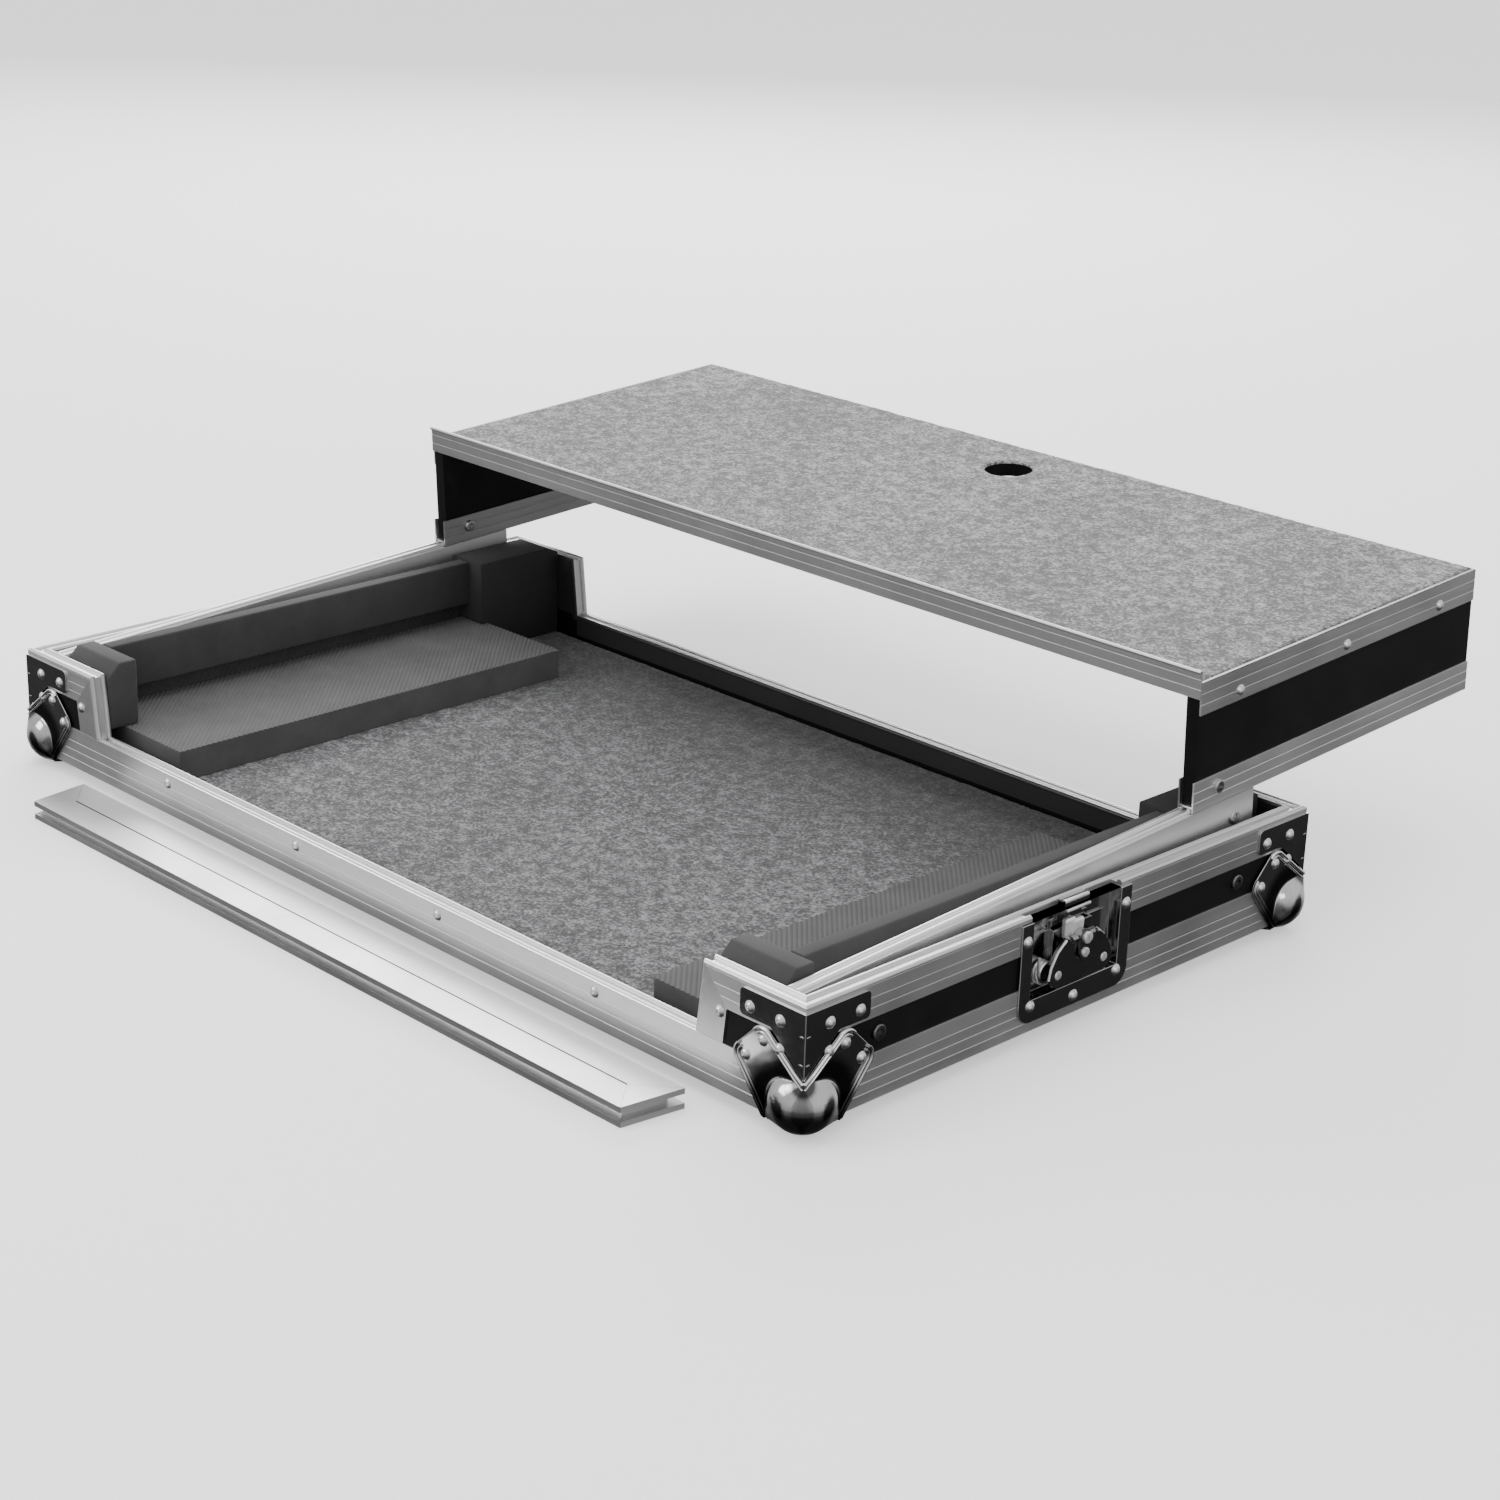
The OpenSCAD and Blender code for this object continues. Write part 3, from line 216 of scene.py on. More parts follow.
class Finish:
    """One material of the object, mixed from the place on the object."""

    def __init__(self, name, colour=(0.5, 0.5, 0.5), metallic=0.0, roughness=0.5, **constants):
        self.material = bpy.data.materials.new(name)
        self.material.use_nodes = True
        self.tree = self.material.node_tree
        self.shader = self.tree.nodes["Principled BSDF"]
        self.place = self.node("ShaderNodeTexCoord", out="Object")
        self.set("Base Color", (*colour, 1))
        self.set("Metallic", metallic)
        self.set("Roughness", roughness)
        for socket, value in constants.items():
            self.set(socket.replace("_", " "), value)

    def node(self, kind, settings=None, feeds=None, out=0):
        made = self.tree.nodes.new(kind)
        for key, value in (settings or {}).items():
            setattr(made, key, value)
        for key, value in (feeds or {}).items():
            self.feed(made.inputs[key], value)
        return Wire(self, made.outputs[out])

    def feed(self, socket, value):
        if isinstance(value, Wire):
            self.tree.links.new(value.socket, socket)
        else:
            socket.default_value = value

    def set(self, socket, value):
        self.feed(self.shader.inputs[socket], value)

    def at(self, stretch, turn=(0, 0, 0)):
        """The place on the object, stretched and turned."""
        return self.node("ShaderNodeMapping", None, {
            "Vector": self.place, "Scale": stretch, "Rotation": turn})

    def split(self):
        """The place on the object as x, y and z."""
        made = self.node("ShaderNodeSeparateXYZ", None, {0: self.place}).socket.node
        return [Wire(self, made.outputs[i]) for i in range(3)]

    def noise(self, scale, detail, rough, at=None, bend=0.0):
        return self.node("ShaderNodeTexNoise", None, {
            "Vector": at or self.place, "Scale": scale, "Detail": detail, "Roughness": rough,
            "Distortion": bend})

    def cells(self, scale, random_share=1.0):
        return self.node("ShaderNodeTexVoronoi", None, {
            "Vector": self.place, "Scale": scale, "Randomness": random_share})

    def grey(self, value, low, high):
        """A grey between two levels."""
        return self.blend(value, (low, low, low), (high, high, high))

    def blend(self, share, first, second):
        """A colour between two colours."""
        return self.node("ShaderNodeMix", {"data_type": "RGBA"}, {
            0: share, 6: (*first, 1), 7: (*second, 1)}, out=2)

    def coat_black(self, mask):
        """Black paint over the metal where the mask is 1."""
        self.shade_by(mask, 0.03)
        self.set("Metallic", 1 - mask)

    def shade_by(self, mask, darkest):
        """Darkens the colour where the mask is 1."""
        colour = self.shader.inputs["Base Color"].links[0].from_socket
        dark = self.grey(mask, 1, darkest)
        mixed = self.node("ShaderNodeMix", {"data_type": "RGBA", "blend_type": "MULTIPLY"}, {
            0: 1.0, 6: Wire(self, colour), 7: dark}, out=2)
        self.set("Base Color", mixed)

    def bump(self, height, strength, distance):
        self.set("Normal", self.node("ShaderNodeBump", None, {
            "Height": height, "Strength": strength, "Distance": distance}))


def aluminium(name, along, base, posts_from=None):
    """Satin extruded aluminium: fine die lines along the extrusion, cloudy handling marks and dull scuffs."""
    f = Finish(name, metallic=1.0)
    lines = f.noise(1.0, 3, 0.6, f.at([1.5 if axis == along else 900 for axis in "xyz"]))
    broad = f.noise(1.0, 2, 0.5, f.at([2.2 if axis == along else 120 for axis in "xyz"]))
    if posts_from:
        # The posts at both ends of a cut-out have their lines upright
        upright = f.noise(1.0, 3, 0.6, f.at((900, 900, 6)))
        share = abs(f.split()[0]).between(posts_from, posts_from + 4 * MM)
        lines = share * upright + (1 - share) * lines
    clouds = f.noise(9, 3, 0.55)
    scuffs = f.noise(60, 4, 0.7, bend=1.2).between(0.62, 0.78)
    tone = (lines - 0.5) * 0.30 + (broad - 0.5) * 0.22 + (clouds - 0.5) * 0.16 + 0.5
    f.set("Base Color", f.grey(tone - scuffs * 0.18, base - 0.16, base + 0.16))
    f.set("Roughness", 0.42 + (clouds - 0.5) * 0.20 + scuffs * 0.16 + (lines - 0.5) * 0.10)
    f.bump(lines * 0.6 + scuffs * 0.3, 0.16, 0.12 * MM)
    return f


def laminate(name, base):
    """Black laminated plywood: a fine pebble grain with dull rubbed places."""
    f = Finish(name, Specular_IOR_Level=0.1)
    pebbles = f.cells(900, random_share=0.8)
    broad = f.noise(14, 3, 0.6)
    rubbed = f.noise(40, 4, 0.65, bend=0.8).between(0.58, 0.8)
    f.set("Base Color", f.grey((broad - 0.35) * 0.9 + rubbed * 0.4, base * 0.7, base * 2.0))
    f.set("Roughness", 0.46 + (broad - 0.5) * 0.16 + rubbed * 0.12)
    f.bump(pebbles, 0.28, 0.15 * MM)
    return f


def felt(name, dark, light):
    """Needle-felt carpet: short fibres that lie every way, in dark and light greys."""
    f = Finish(name, roughness=0.95, Specular_IOR_Level=0.12, Sheen_Weight=0.25, Sheen_Roughness=0.6)
    layers = []
    for k, turn in enumerate((0.35, 1.35, 2.3, 2.95)):
        lie = f.at((270, 560, 300), (0.2 * k, 0.1 * k, turn))
        layers.append(f.noise(1.0, 2, 0.65, lie, 1.4))
    fibres = layers[0]
    for layer in layers[1:]:
        fibres = fibres.larger(layer)
    pits = layers[0].smaller(layers[2]).smaller(layers[3])
    clumps = f.noise(80, 3, 0.65)
    specks = f.noise(330, 2, 0.7)
    broad = f.noise(7, 2, 0.5)
    tone = fibres.between(0.56, 0.86) * 0.5 + pits.between(0.30, 0.52) * 0.26
    tone = tone + (clumps - 0.5) * 1.4 + (specks - 0.5) * 1.9 + (broad - 0.5) * 0.3 + 0.06
    f.set("Base Color", f.blend(tone.between(0.0, 0.85), dark, light))
    f.bump(fibres * 0.7 + clumps * 0.8 + pits * 0.4, 0.9, 0.9 * MM)
    return f


def foam(name, base):
    """Closed-cell foam: a matt skin with tiny pores, and paler dust on it."""
    f = Finish(name, roughness=0.88, Specular_IOR_Level=0.2, Sheen_Weight=0.12, Sheen_Roughness=0.5)
    pores = f.cells(1500)
    dust = f.noise(26, 4, 0.62)
    broad = f.noise(5, 2, 0.5)
    tone = (dust - 0.5) * 0.9 + (broad - 0.5) * 0.4 + (pores - 0.4) * 0.25 + 0.5
    f.set("Base Color", f.grey(tone.between(0.0, 1.0), base * 0.72, base * 1.32))
    f.set("Roughness", 0.82 + (dust - 0.5) * 0.2)
    f.bump(pores * 0.6 + dust * 0.4, 0.35, 0.25 * MM)
    return f


def plate(name, low, high, rough):
    """Plated steel sheet: mirror-like with faint waves, fine rubbing marks and duller spots."""
    f = Finish(name, metallic=1.0)
    waves = f.noise(32, 2, 0.45)
    spots = f.noise(240, 4, 0.7, bend=0.6).between(0.60, 0.80)
    rubs = f.noise(1.0, 3, 0.6, f.at((90, 900, 260), (0.4, 0.3, 0.5)))
    f.set("Base Color", f.grey((waves - 0.5) * 0.9 + (rubs - 0.5) * 0.4 + 0.5 - spots * 0.2, low, high))
    f.set("Roughness", rough + (rubs - 0.5) * 0.10 + spots * 0.16)
    f.bump(waves * 0.7 + rubs * 0.1, 0.10, 1.2 * MM)
    return f


def bright(name, low, high, rough, grain=500):
    """Small metal parts with a fine grain: rivets, screws, lips, hook bars, cam heads and springs."""
    f = Finish(name, metallic=1.0)
    grains = f.noise(grain, 3, 0.6)
    spots = f.noise(130, 3, 0.6).between(0.55, 0.75)
    f.set("Base Color", f.grey(grains - spots * 0.3, low, high))
    f.set("Roughness", rough + (grains - 0.5) * 0.16 + spots * 0.12)
    f.bump(grains, 0.12, 0.2 * MM)
    return f


# How pieces are modelled

def clear_selection():
    """Leaves edit mode and selects nothing."""
    if bpy.context.object and bpy.context.object.mode != "OBJECT":
        done()
    bpy.ops.object.select_all(action="DESELECT")


def hold(piece):
    """Selects one piece by itself and makes it active."""
    clear_selection()
    piece.select_set(True)
    bpy.context.view_layer.objects.active = piece


def pick(piece, kind, chosen):
    """Opens a piece in edit mode with only the chosen vertices, edges or faces selected."""
    hold(piece)
    bpy.ops.object.mode_set(mode="EDIT")
    bpy.ops.mesh.select_mode(type=kind)
    bpy.ops.mesh.select_all(action="DESELECT")
    mesh = bmesh.from_edit_mesh(piece.data)
    for item in {"VERT": mesh.verts, "EDGE": mesh.edges, "FACE": mesh.faces}[kind]:
        if chosen(item):
            item.select_set(True)
    bmesh.update_edit_mesh(piece.data)


def done():
    """Leaves edit mode."""
    bpy.ops.object.mode_set(mode="OBJECT")


def everything(item):
    """Chooses all of a piece."""
    return True


def climb(edge):
    """How far an edge climbs."""
    return abs(edge.verts[0].co.z - edge.verts[1].co.z)


def open_whole(piece):
    """Opens a piece in edit mode with all of it selected."""
    hold(piece)
    bpy.ops.object.mode_set(mode="EDIT")
    bpy.ops.mesh.select_all(action="SELECT")


def face_outwards(piece):
    """Turns every face's front to the outside."""
    open_whole(piece)
    bpy.ops.mesh.normals_make_consistent(inside=False)
    done()


def placed(name):
    """Names the piece just added and makes its place and size its own."""
    piece = bpy.context.object
    piece.name = piece.data.name = name
    bpy.ops.object.transform_apply(location=True, rotation=True, scale=True)
    return piece


def turned(piece, angles=(0, 0, 0), move=(0, 0, 0), scale=(1, 1, 1)):
    """Stretches or mirrors a piece about the origin, turns it, in degrees, and moves it."""
    hold(piece)
    piece.rotation_euler = [math.radians(a) for a in angles]
    piece.scale = scale
    piece.location = move
    bpy.ops.object.transform_apply(location=True, rotation=True, scale=True)
    if scale[0] * scale[1] * scale[2] < 0:
        face_outwards(piece)
    return piece


def modify(piece, kind, **settings):
    """Adds a modifier and applies it."""
    hold(piece)
    modifier = piece.modifiers.new(kind.lower(), kind)
    for key, value in settings.items():
        setattr(modifier, key, value)
    bpy.ops.object.modifier_apply(modifier=modifier.name)


def carve(piece, tool, operation="DIFFERENCE"):
    """Cuts a piece with a tool, which is used up."""
    modify(piece, "BOOLEAN", object=tool, operation=operation, solver="EXACT")
    bpy.data.objects.remove(tool)


def smooth(piece, angle):
    """Shades a piece smooth, with sharp edges where it bends by more than the angle."""
    hold(piece)
    bpy.ops.object.shade_smooth_by_angle(angle=math.radians(angle))


def twin_of(piece, name):
    """A copy of a piece."""
    twin = bpy.data.objects.new(name, piece.data.copy())
    bpy.context.scene.collection.objects.link(twin)
    return twin


def copy_of(node, name):
    """A merged copy of a CAD node's mesh, to be finished by hand."""
    piece = twin_of(nodes[node], name)
    piece.data.materials.clear()
    open_whole(piece)
    bpy.ops.mesh.remove_doubles(threshold=0.02 * MM)
    bpy.ops.mesh.dissolve_limited(angle_limit=math.radians(1))
    done()
    return piece


def merged(pieces, name):
    """Joins pieces into one."""
    clear_selection()
    for piece in pieces:
        piece.select_set(True)
    bpy.context.view_layer.objects.active = pieces[0]
    if len(pieces) > 1:
        bpy.ops.object.join()
    pieces[0].name = pieces[0].data.name = name
    return pieces[0]


def fit_out(piece, finish, body, slot, *replaced):
    """Gives a finished piece its finish and body, and hides the CAD nodes that it stands for. The slot is not
    used.
    """
    piece.data.materials.clear()
    piece.data.materials.append(finish.material)
    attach(piece, body)
    if replaced:
        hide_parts(*replaced)


def reach_of(points):
    """The lowest and the highest corner round some points."""
    return [Vector(end(p[i] for p in points) for i in range(3)) for end in (min, max)]


def loose_parts(node):
    """The lowest and highest corners of each separate solid in a CAD node."""
    mesh = bmesh.new()
    mesh.from_mesh(nodes[node].data)
    bmesh.ops.remove_doubles(mesh, verts=mesh.verts, dist=0.01 * MM)
    left, parts = set(mesh.verts), []
    while left:
        waiting, own = [left.pop()], []
        while waiting:
            v = waiting.pop()
            own.append(v.co.copy())
            for link in v.link_edges:
                other = link.other_vert(v)
                if other in left:
                    left.remove(other)
                    waiting.append(other)
        parts.append(reach_of(own))
    mesh.free()
    return sorted(parts, key=lambda part: tuple(round(c, 4) for c in part[0]))


def block(name, low, high):
    """A box between two corners."""
    clear_selection()
    low, high = Vector(low), Vector(high)
    bpy.ops.mesh.primitive_cube_add(size=1, location=(low + high) / 2, scale=high - low)
    return placed(name)


def rod(name, radius, low, high, sides):
    """An upright round bar from low to high."""
    clear_selection()
    low, high = Vector(low), Vector(high)
    bpy.ops.mesh.primitive_cylinder_add(vertices=sides, radius=radius, depth=high.z - low.z,
                                        location=(low + high) / 2)
    return placed(name)


def tube(name, points, radius):
    """A round wire bent along points."""
    line = bpy.data.curves.new(name, "CURVE")
    line.dimensions, line.bevel_depth, line.bevel_resolution, line.use_fill_caps = "3D", radius, 3, True
    spline = line.splines.new("POLY")
    spline.points.add(len(points) - 1)
    for point, place in zip(spline.points, points):
        point.co = (*place, 1)
    piece = bpy.data.objects.new(name, line)
    bpy.context.scene.collection.objects.link(piece)
    hold(piece)
    bpy.ops.object.convert(target="MESH")
    return bpy.context.object


# Foam and carpet

rib_pitch, rib_rise, rib_turn = 3.8 * MM, 0.9 * MM, 45
tool_margin = 5 * MM


def ribbed_tool(reach, depth):
    """A block whose top is a sheet of round ribs that run along Y, used to shape ribbed foam."""
    columns = 4 * int(2 * reach / rib_pitch)
    width = columns * rib_pitch / 4
    clear_selection()
    bpy.ops.mesh.primitive_grid_add(x_subdivisions=columns, y_subdivisions=1, size=1, location=(0, 0, 0))
    tool = turned(bpy.context.object, scale=(width, 2 * reach, 1))
    for k, drop in ((0, rib_rise), (1, 0.35 * rib_rise), (3, 0.35 * rib_rise)):
        pick(tool, "VERT", lambda v: round((v.co.x + width / 2) / (rib_pitch / 4)) % 4 == k)
        bpy.ops.transform.translate(value=(0, 0, -drop))
        done()
    pick(tool, "FACE", everything)
    bpy.ops.mesh.extrude_region_move(TRANSFORM_OT_translate={"value": (0, 0, -depth)})
    done()
    face_outwards(tool)
    return tool


def ribbed_pad(name, low, high):
    """A foam pad with ribs that run slantwise across its top."""
    pad = block(name, low, high)
    pick(pad, "EDGE", lambda e: climb(e) > MM)
    bpy.ops.mesh.bevel(offset=2 * MM, segments=3, affect="EDGES")
    done()
    middle = (low + high) / 2
    tool = ribbed_tool((high - low).xy.length / 2 + tool_margin, high.z - low.z + 2 * tool_margin)
    carve(pad, turned(tool, (0, 0, rib_turn), (middle.x, middle.y, high.z)), "INTERSECT")
    smooth(pad, 50)
    return pad


def ribbed_strip(name, low, high, inwards):
    """An upright foam strip with slanting ribs on the face towards the middle."""
    strip = block(name, low, high)
    middle = (low + high) / 2
    reach = math.hypot(high.y - low.y, high.z - low.z) / 2 + tool_margin
    tool = turned(ribbed_tool(reach, high.x - low.x + 2 * tool_margin), (0, 0, rib_turn))
    face = high.x if inwards > 0 else low.x
    carve(strip, turned(tool, (0, 90 * inwards, 0), (face, middle.y, middle.z)), "INTERSECT")
    smooth(strip, 50)
    return strip


def soft_block(node, rounding):
    """A CAD foam block with its edges rounded."""
    piece = copy_of(node, node + "_cut")
    modify(piece, "BEVEL", width=rounding, segments=3, limit_method="ANGLE", angle_limit=math.radians(20))
    smooth(piece, 50)
    return piece


def carpet(name, width, depth, thick, cell, seed, hole=None):
    """A needle-felt sheet on z = 0, with an uneven pile, edges rolled down and maybe a round hole."""
    pile, rolled = 0.35 * MM, 0.7 * MM
    clear_selection()
    bpy.ops.mesh.primitive_grid_add(x_subdivisions=int(width / cell), y_subdivisions=int(depth / cell),
                                    size=1, location=(0, 0, thick - pile))
    bpy.context.object.scale = (width, depth, 1)
    sheet = placed(name)
    # First dents that are smoothed, then finer ones that stay
    for push, seed_step, softened in ((0.34 * MM, 34, True), (0.20 * MM, 20, False)):
        pick(sheet, "VERT", everything)
        bpy.ops.transform.vertex_random(offset=push, uniform=0, normal=1, seed=seed + seed_step)
        if softened:
            bpy.ops.mesh.vertices_smooth(factor=0.5, repeat=1)
        done()
    if hole:
        middle, radius = Vector(hole[:2]), hole[2]
        pick(sheet, "FACE", lambda face: (face.calc_center_median().xy - middle).length < radius)
        bpy.ops.mesh.delete(type="FACE")
        done()
        pick(sheet, "VERT", lambda v: v.is_boundary and (v.co.xy - middle).length < radius + 2 * cell)
        mesh = bmesh.from_edit_mesh(sheet.data)
        for v in mesh.verts:
            if v.select:
                out = (v.co.xy - middle).normalized() * radius
                v.co.x, v.co.y = middle.x + out.x, middle.y + out.y
        bmesh.update_edit_mesh(sheet.data)
        done()
    pick(sheet, "VERT", lambda v: v.is_boundary)
    bpy.ops.transform.translate(value=(0, 0, -rolled))
    done()
    pick(sheet, "FACE", everything)
    bpy.ops.mesh.extrude_region_move(TRANSFORM_OT_translate={"value": (0, 0, -thick / 2)})
    bpy.ops.transform.resize(value=(1, 1, 0), center_override=(0, 0, 0))
    done()
    face_outwards(sheet)
    smooth(sheet, 80)
    return sheet


# Extrusions, screws and pins

def eased(node, width):
    """A CAD node with its sharp edges rounded off, so that they catch the light."""
    piece = copy_of(node, node + "_eased")
    modify(piece, "BEVEL", width=width, segments=2, limit_method="ANGLE", angle_limit=math.radians(30))
    smooth(piece, 30)
    modify(piece, "WEIGHTED_NORMAL", keep_sharp=True)
    return piece


def domed(name, radius, height, sides, rounding):
    """A round head that stands on z = 0, its upper edge rounded by a share of its height."""
    head = rod(name, radius, (0, 0, 0), (0, 0, height), sides)
    pick(head, "EDGE", lambda e: min(v.co.z for v in e.verts) > 0.9 * height)
    bpy.ops.mesh.bevel(offset=rounding * height, segments=4, affect="EDGES")
    done()
    return head


def groove(head, reach, half_width, foot, top, turn):
    """Cuts a straight groove across a head."""
    bar = block("groove", (-reach, -half_width, foot), (reach, half_width, top))
    carve(head, turned(bar, (0, 0, turn)))


def screw_head(name, radius, height, recess, cross):
    """A domed screw head with a cross or a hexagon in it."""
    head = domed(name, radius, height, 40, 0.42)
    if cross:
        for turn in (0, 90):
            groove(head, recess, 0.22 * recess, 0.45 * height, 2 * height, turn)
    else:
        carve(head, rod("hexagon", recess, (0, 0, 0.35 * height), (0, 0, 2.35 * height), 6))
    smooth(head, 30)
    return head


def pin_head(radius, height, turn):
    """A domed pin head with a slot."""
    head = domed("pin_head", radius, height, 36, 0.5)
    groove(head, 2 * radius, 0.55 * MM, 0.5 * height, 3 * height, turn)
    return head


def dressed_screws(node, name, head, height, finish, body):
    """Puts a copy of a screw on every screw of a node, pointing the way that it stands out."""
    first_turn, next_turn = 25, 47
    copies = []
    for k, (low, high) in enumerate(loose_parts(node)):
        middle = (low + high) / 2
        outwards = 1 if middle.x > math.copysign(rail_middle, middle.x) else -1
        tip = high.x if outwards > 0 else low.x
        one = turned(twin_of(head, name), (0, 0, first_turn + next_turn * k))
        copies.append(turned(one, (0, 90 * outwards, 0), (tip - outwards * height, middle.y, middle.z)))
    bpy.data.objects.remove(head)
    fit_out(merged(copies, name), finish, body, "bolt", node)


# Corner hardware, modelled round the origin and moved to the case's front left corner

def ball_corner():
    """The pressed ball corner: a ball and three legs with lobes round the rivets."""
    shell = turned(copy_of("ball_corner_front_left", "pressed_ball"), move=-case_corner)
    clear_selection()
    bpy.ops.mesh.primitive_uv_sphere_add(segments=80, ring_count=40, radius=ball_radius * MM,
                                         location=[ball_middle * MM] * 3)
    shell = merged([shell, placed("ball")], "pressed_ball")
    modify(shell, "REMESH", mode="VOXEL", voxel_size=0.7 * MM)
    modify(shell, "SMOOTH", factor=0.5, iterations=3)
    carve(shell, block("inside_of_the_case", (0, 0, 0), [150 * MM] * 3))
    modify(shell, "DECIMATE", ratio=0.5)
    smooth(shell, 60)
    return turned(shell, move=case_corner)


def lip_line(inset, depth):
    """A leg's rolled lip on the front face: round its upper lobe and down to the bottom of the V."""
    # The lobe's middle and radius, then the V: its foot, how it leans, how it rises, where it starts and ends
    lobe_across, lobe_up, lobe = 38.5, 54.8, 10.5 - inset
    v_foot, v_lean, v_rise, v_start, v_end = 37.4, math.radians(38), 0.777, 8, -0.6
    arc = [(lobe_across + lobe * math.cos(math.radians(a)), lobe_up + lobe * math.sin(math.radians(a)))
           for a in range(40, 128, 8)]
    foot = v_foot - inset / math.cos(v_lean)
    flank = [(v_start, foot + v_start * v_rise), (v_end, foot)]
    return [(u * MM, -depth * MM, v * MM) for u, v in arc + flank]


def corner_lips(turns, name):
    """A ball corner's two rolled lips, one inside the other, along the chosen Vs between two legs."""
    leg_face, sunk_share = 1.9, 0.35
    pieces = []
    for inset, radius in ((1.2, 1.45), (4.4, 1.05)):
        line = lip_line(inset, leg_face + sunk_share * radius)
        bend = (-MM, -MM, line[-1][2] - 0.2 * MM)
        other = [(y, x, z) for x, y, z in reversed(line)]
        wire = tube("lip", line + [bend] + other, radius * MM)
        for turn in turns:
            copy = twin_of(wire, "lip")
            for v in copy.data.vertices:
                v.co = Vector((v.co[turn], v.co[(turn + 1) % 3], v.co[(turn + 2) % 3]))
            pieces.append(copy)
        bpy.data.objects.remove(wire)
    lips = merged(pieces, name)
    smooth(lips, 60)
    return turned(lips, move=case_corner)


def corner_bracket():
    """The corner plate: a bend with rounded edges and two pressed gussets across it."""
    gusset_long, gusset_thin, gusset_tall = 2.0, 0.4, 0.8
    gusset_along, gusset_out, gusset_heights = 1.8, -1.5, (70, 49)
    bracket = turned(copy_of("corner_bracket_front_left", "bent_plate"), move=-case_corner)
    pick(bracket, "EDGE", lambda e: climb(e) > 5 * MM and all(max(v.co.x, v.co.y) < -MM for v in e.verts))
    bpy.ops.mesh.bevel(offset=0.6 * MM, segments=4, affect="EDGES")
    done()
    modify(bracket, "BEVEL", width=0.3 * MM, segments=2, limit_method="ANGLE", angle_limit=math.radians(50))
    pieces = [bracket]
    for height in gusset_heights:
        for size, middle in (
                ((gusset_long, gusset_thin, gusset_tall), (gusset_along, gusset_out, height)),
                ((gusset_thin, gusset_long, gusset_tall), (gusset_out, gusset_along, height))):
            clear_selection()
            bpy.ops.mesh.primitive_uv_sphere_add(segments=24, ring_count=16, radius=MM,
                                                 location=Vector(middle) * MM, scale=size)
            pieces.append(placed("gusset"))
    bracket = merged(pieces, "bent_plate")
    smooth(bracket, 40)
    modify(bracket, "WEIGHTED_NORMAL", keep_sharp=True)
    return turned(bracket, move=case_corner)


def dress_corners(first, finish, slot, angle, node=None, crisp=False):
    """Mirrors a piece from the front left corner to the other three and fits out all four."""
    for place, side in (("front_right", (-1, 1, 1)), ("rear_left", (1, -1, 1)),
                        ("rear_right", (-1, -1, 1))):
        copy = turned(twin_of(first, first.name + "_" + place), scale=side)
        smooth(copy, angle)
        if crisp:
            modify(copy, "WEIGHTED_NORMAL", keep_sharp=True)
        fit_out(copy, finish, "case", slot, *([node + "_" + place] if node else []))
    fit_out(first, finish, "case", slot, *([node + "_front_left"] if node else []))


# What shows of a latch. Places are in mm, spans are low and high values out, along the wall and up

def latch_bar(start, spans, rounding, outwards, segments=3, rough=0.0):
    """A bar with rounded edges that spans from a start point."""
    low, high = (Vector([at + span[k] for at, span in zip(start, spans)]) * MM for k in (0, 1))
    bar = block("bar", low, high)
    pick(bar, "EDGE", everything)
    bpy.ops.mesh.bevel(offset=rounding * MM, segments=segments, affect="EDGES")
    if rough:
        bpy.ops.transform.vertex_random(offset=rough * MM, uniform=0, normal=1, seed=4)
    done()
    return turned(bar, scale=(outwards, 1, 1))


def latch_pin(radius, height, turn, place, outwards):
    """A pin head that looks outwards."""
    head = pin_head(radius * MM, height * MM, turn)
    return turned(head, (0, 90 * outwards, 0), Vector((outwards * place[0], *place[1:])) * MM)


def hook_bars(side, outwards):
    """A hook's two bright bars at its tip and the ridge below it, brighter than the rest of the hook as a
    painted highlight on its bends.
    """
    tip = ((-2.4, 0.5), (-13.5, 13.5), (-2.2, 0.25))
    ridge = ((-1.2, 1.9), (-12.5, 14.5), (-9.2, -6.6))
    low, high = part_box("latch_hook_" + side)
    top_edge = (max(abs(low.x), abs(high.x)) / MM, 0, high.z / MM)
    bars = [latch_bar(top_edge, tip, 0.7, outwards), latch_bar(top_edge, ridge, 1.0, outwards)]
    bars = merged(bars, "hook_bars_" + side)
    smooth(bars, 40)
    return bars


def cam_heads(side, outwards):
    """A cam's bright parts: a rough cast block in two steps and two pin heads."""
    steps = (((-2.6, 2.4), (-14.5, -2.5), (62.5, 78.5)), ((-2.6, 2.8), (-8, 6.5), (62, 76.5)))
    pins = ((4.7, 2.0, 2.0, 63.0), (3.8, 1.6, 0.5, 51.5))
    low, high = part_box("latch_cam_" + side)
    face = max(abs(low.x), abs(high.x)) / MM - 0.2
    heads = [latch_bar((case_end, 0, 0), step, 2.0, outwards, 4, 0.3) for step in steps]
    heads += [latch_pin(radius, height, 35, (face, y, z), outwards) for radius, height, y, z in pins]
    heads = merged(heads, "cam_heads_" + side)
    smooth(heads, 35)
    return heads


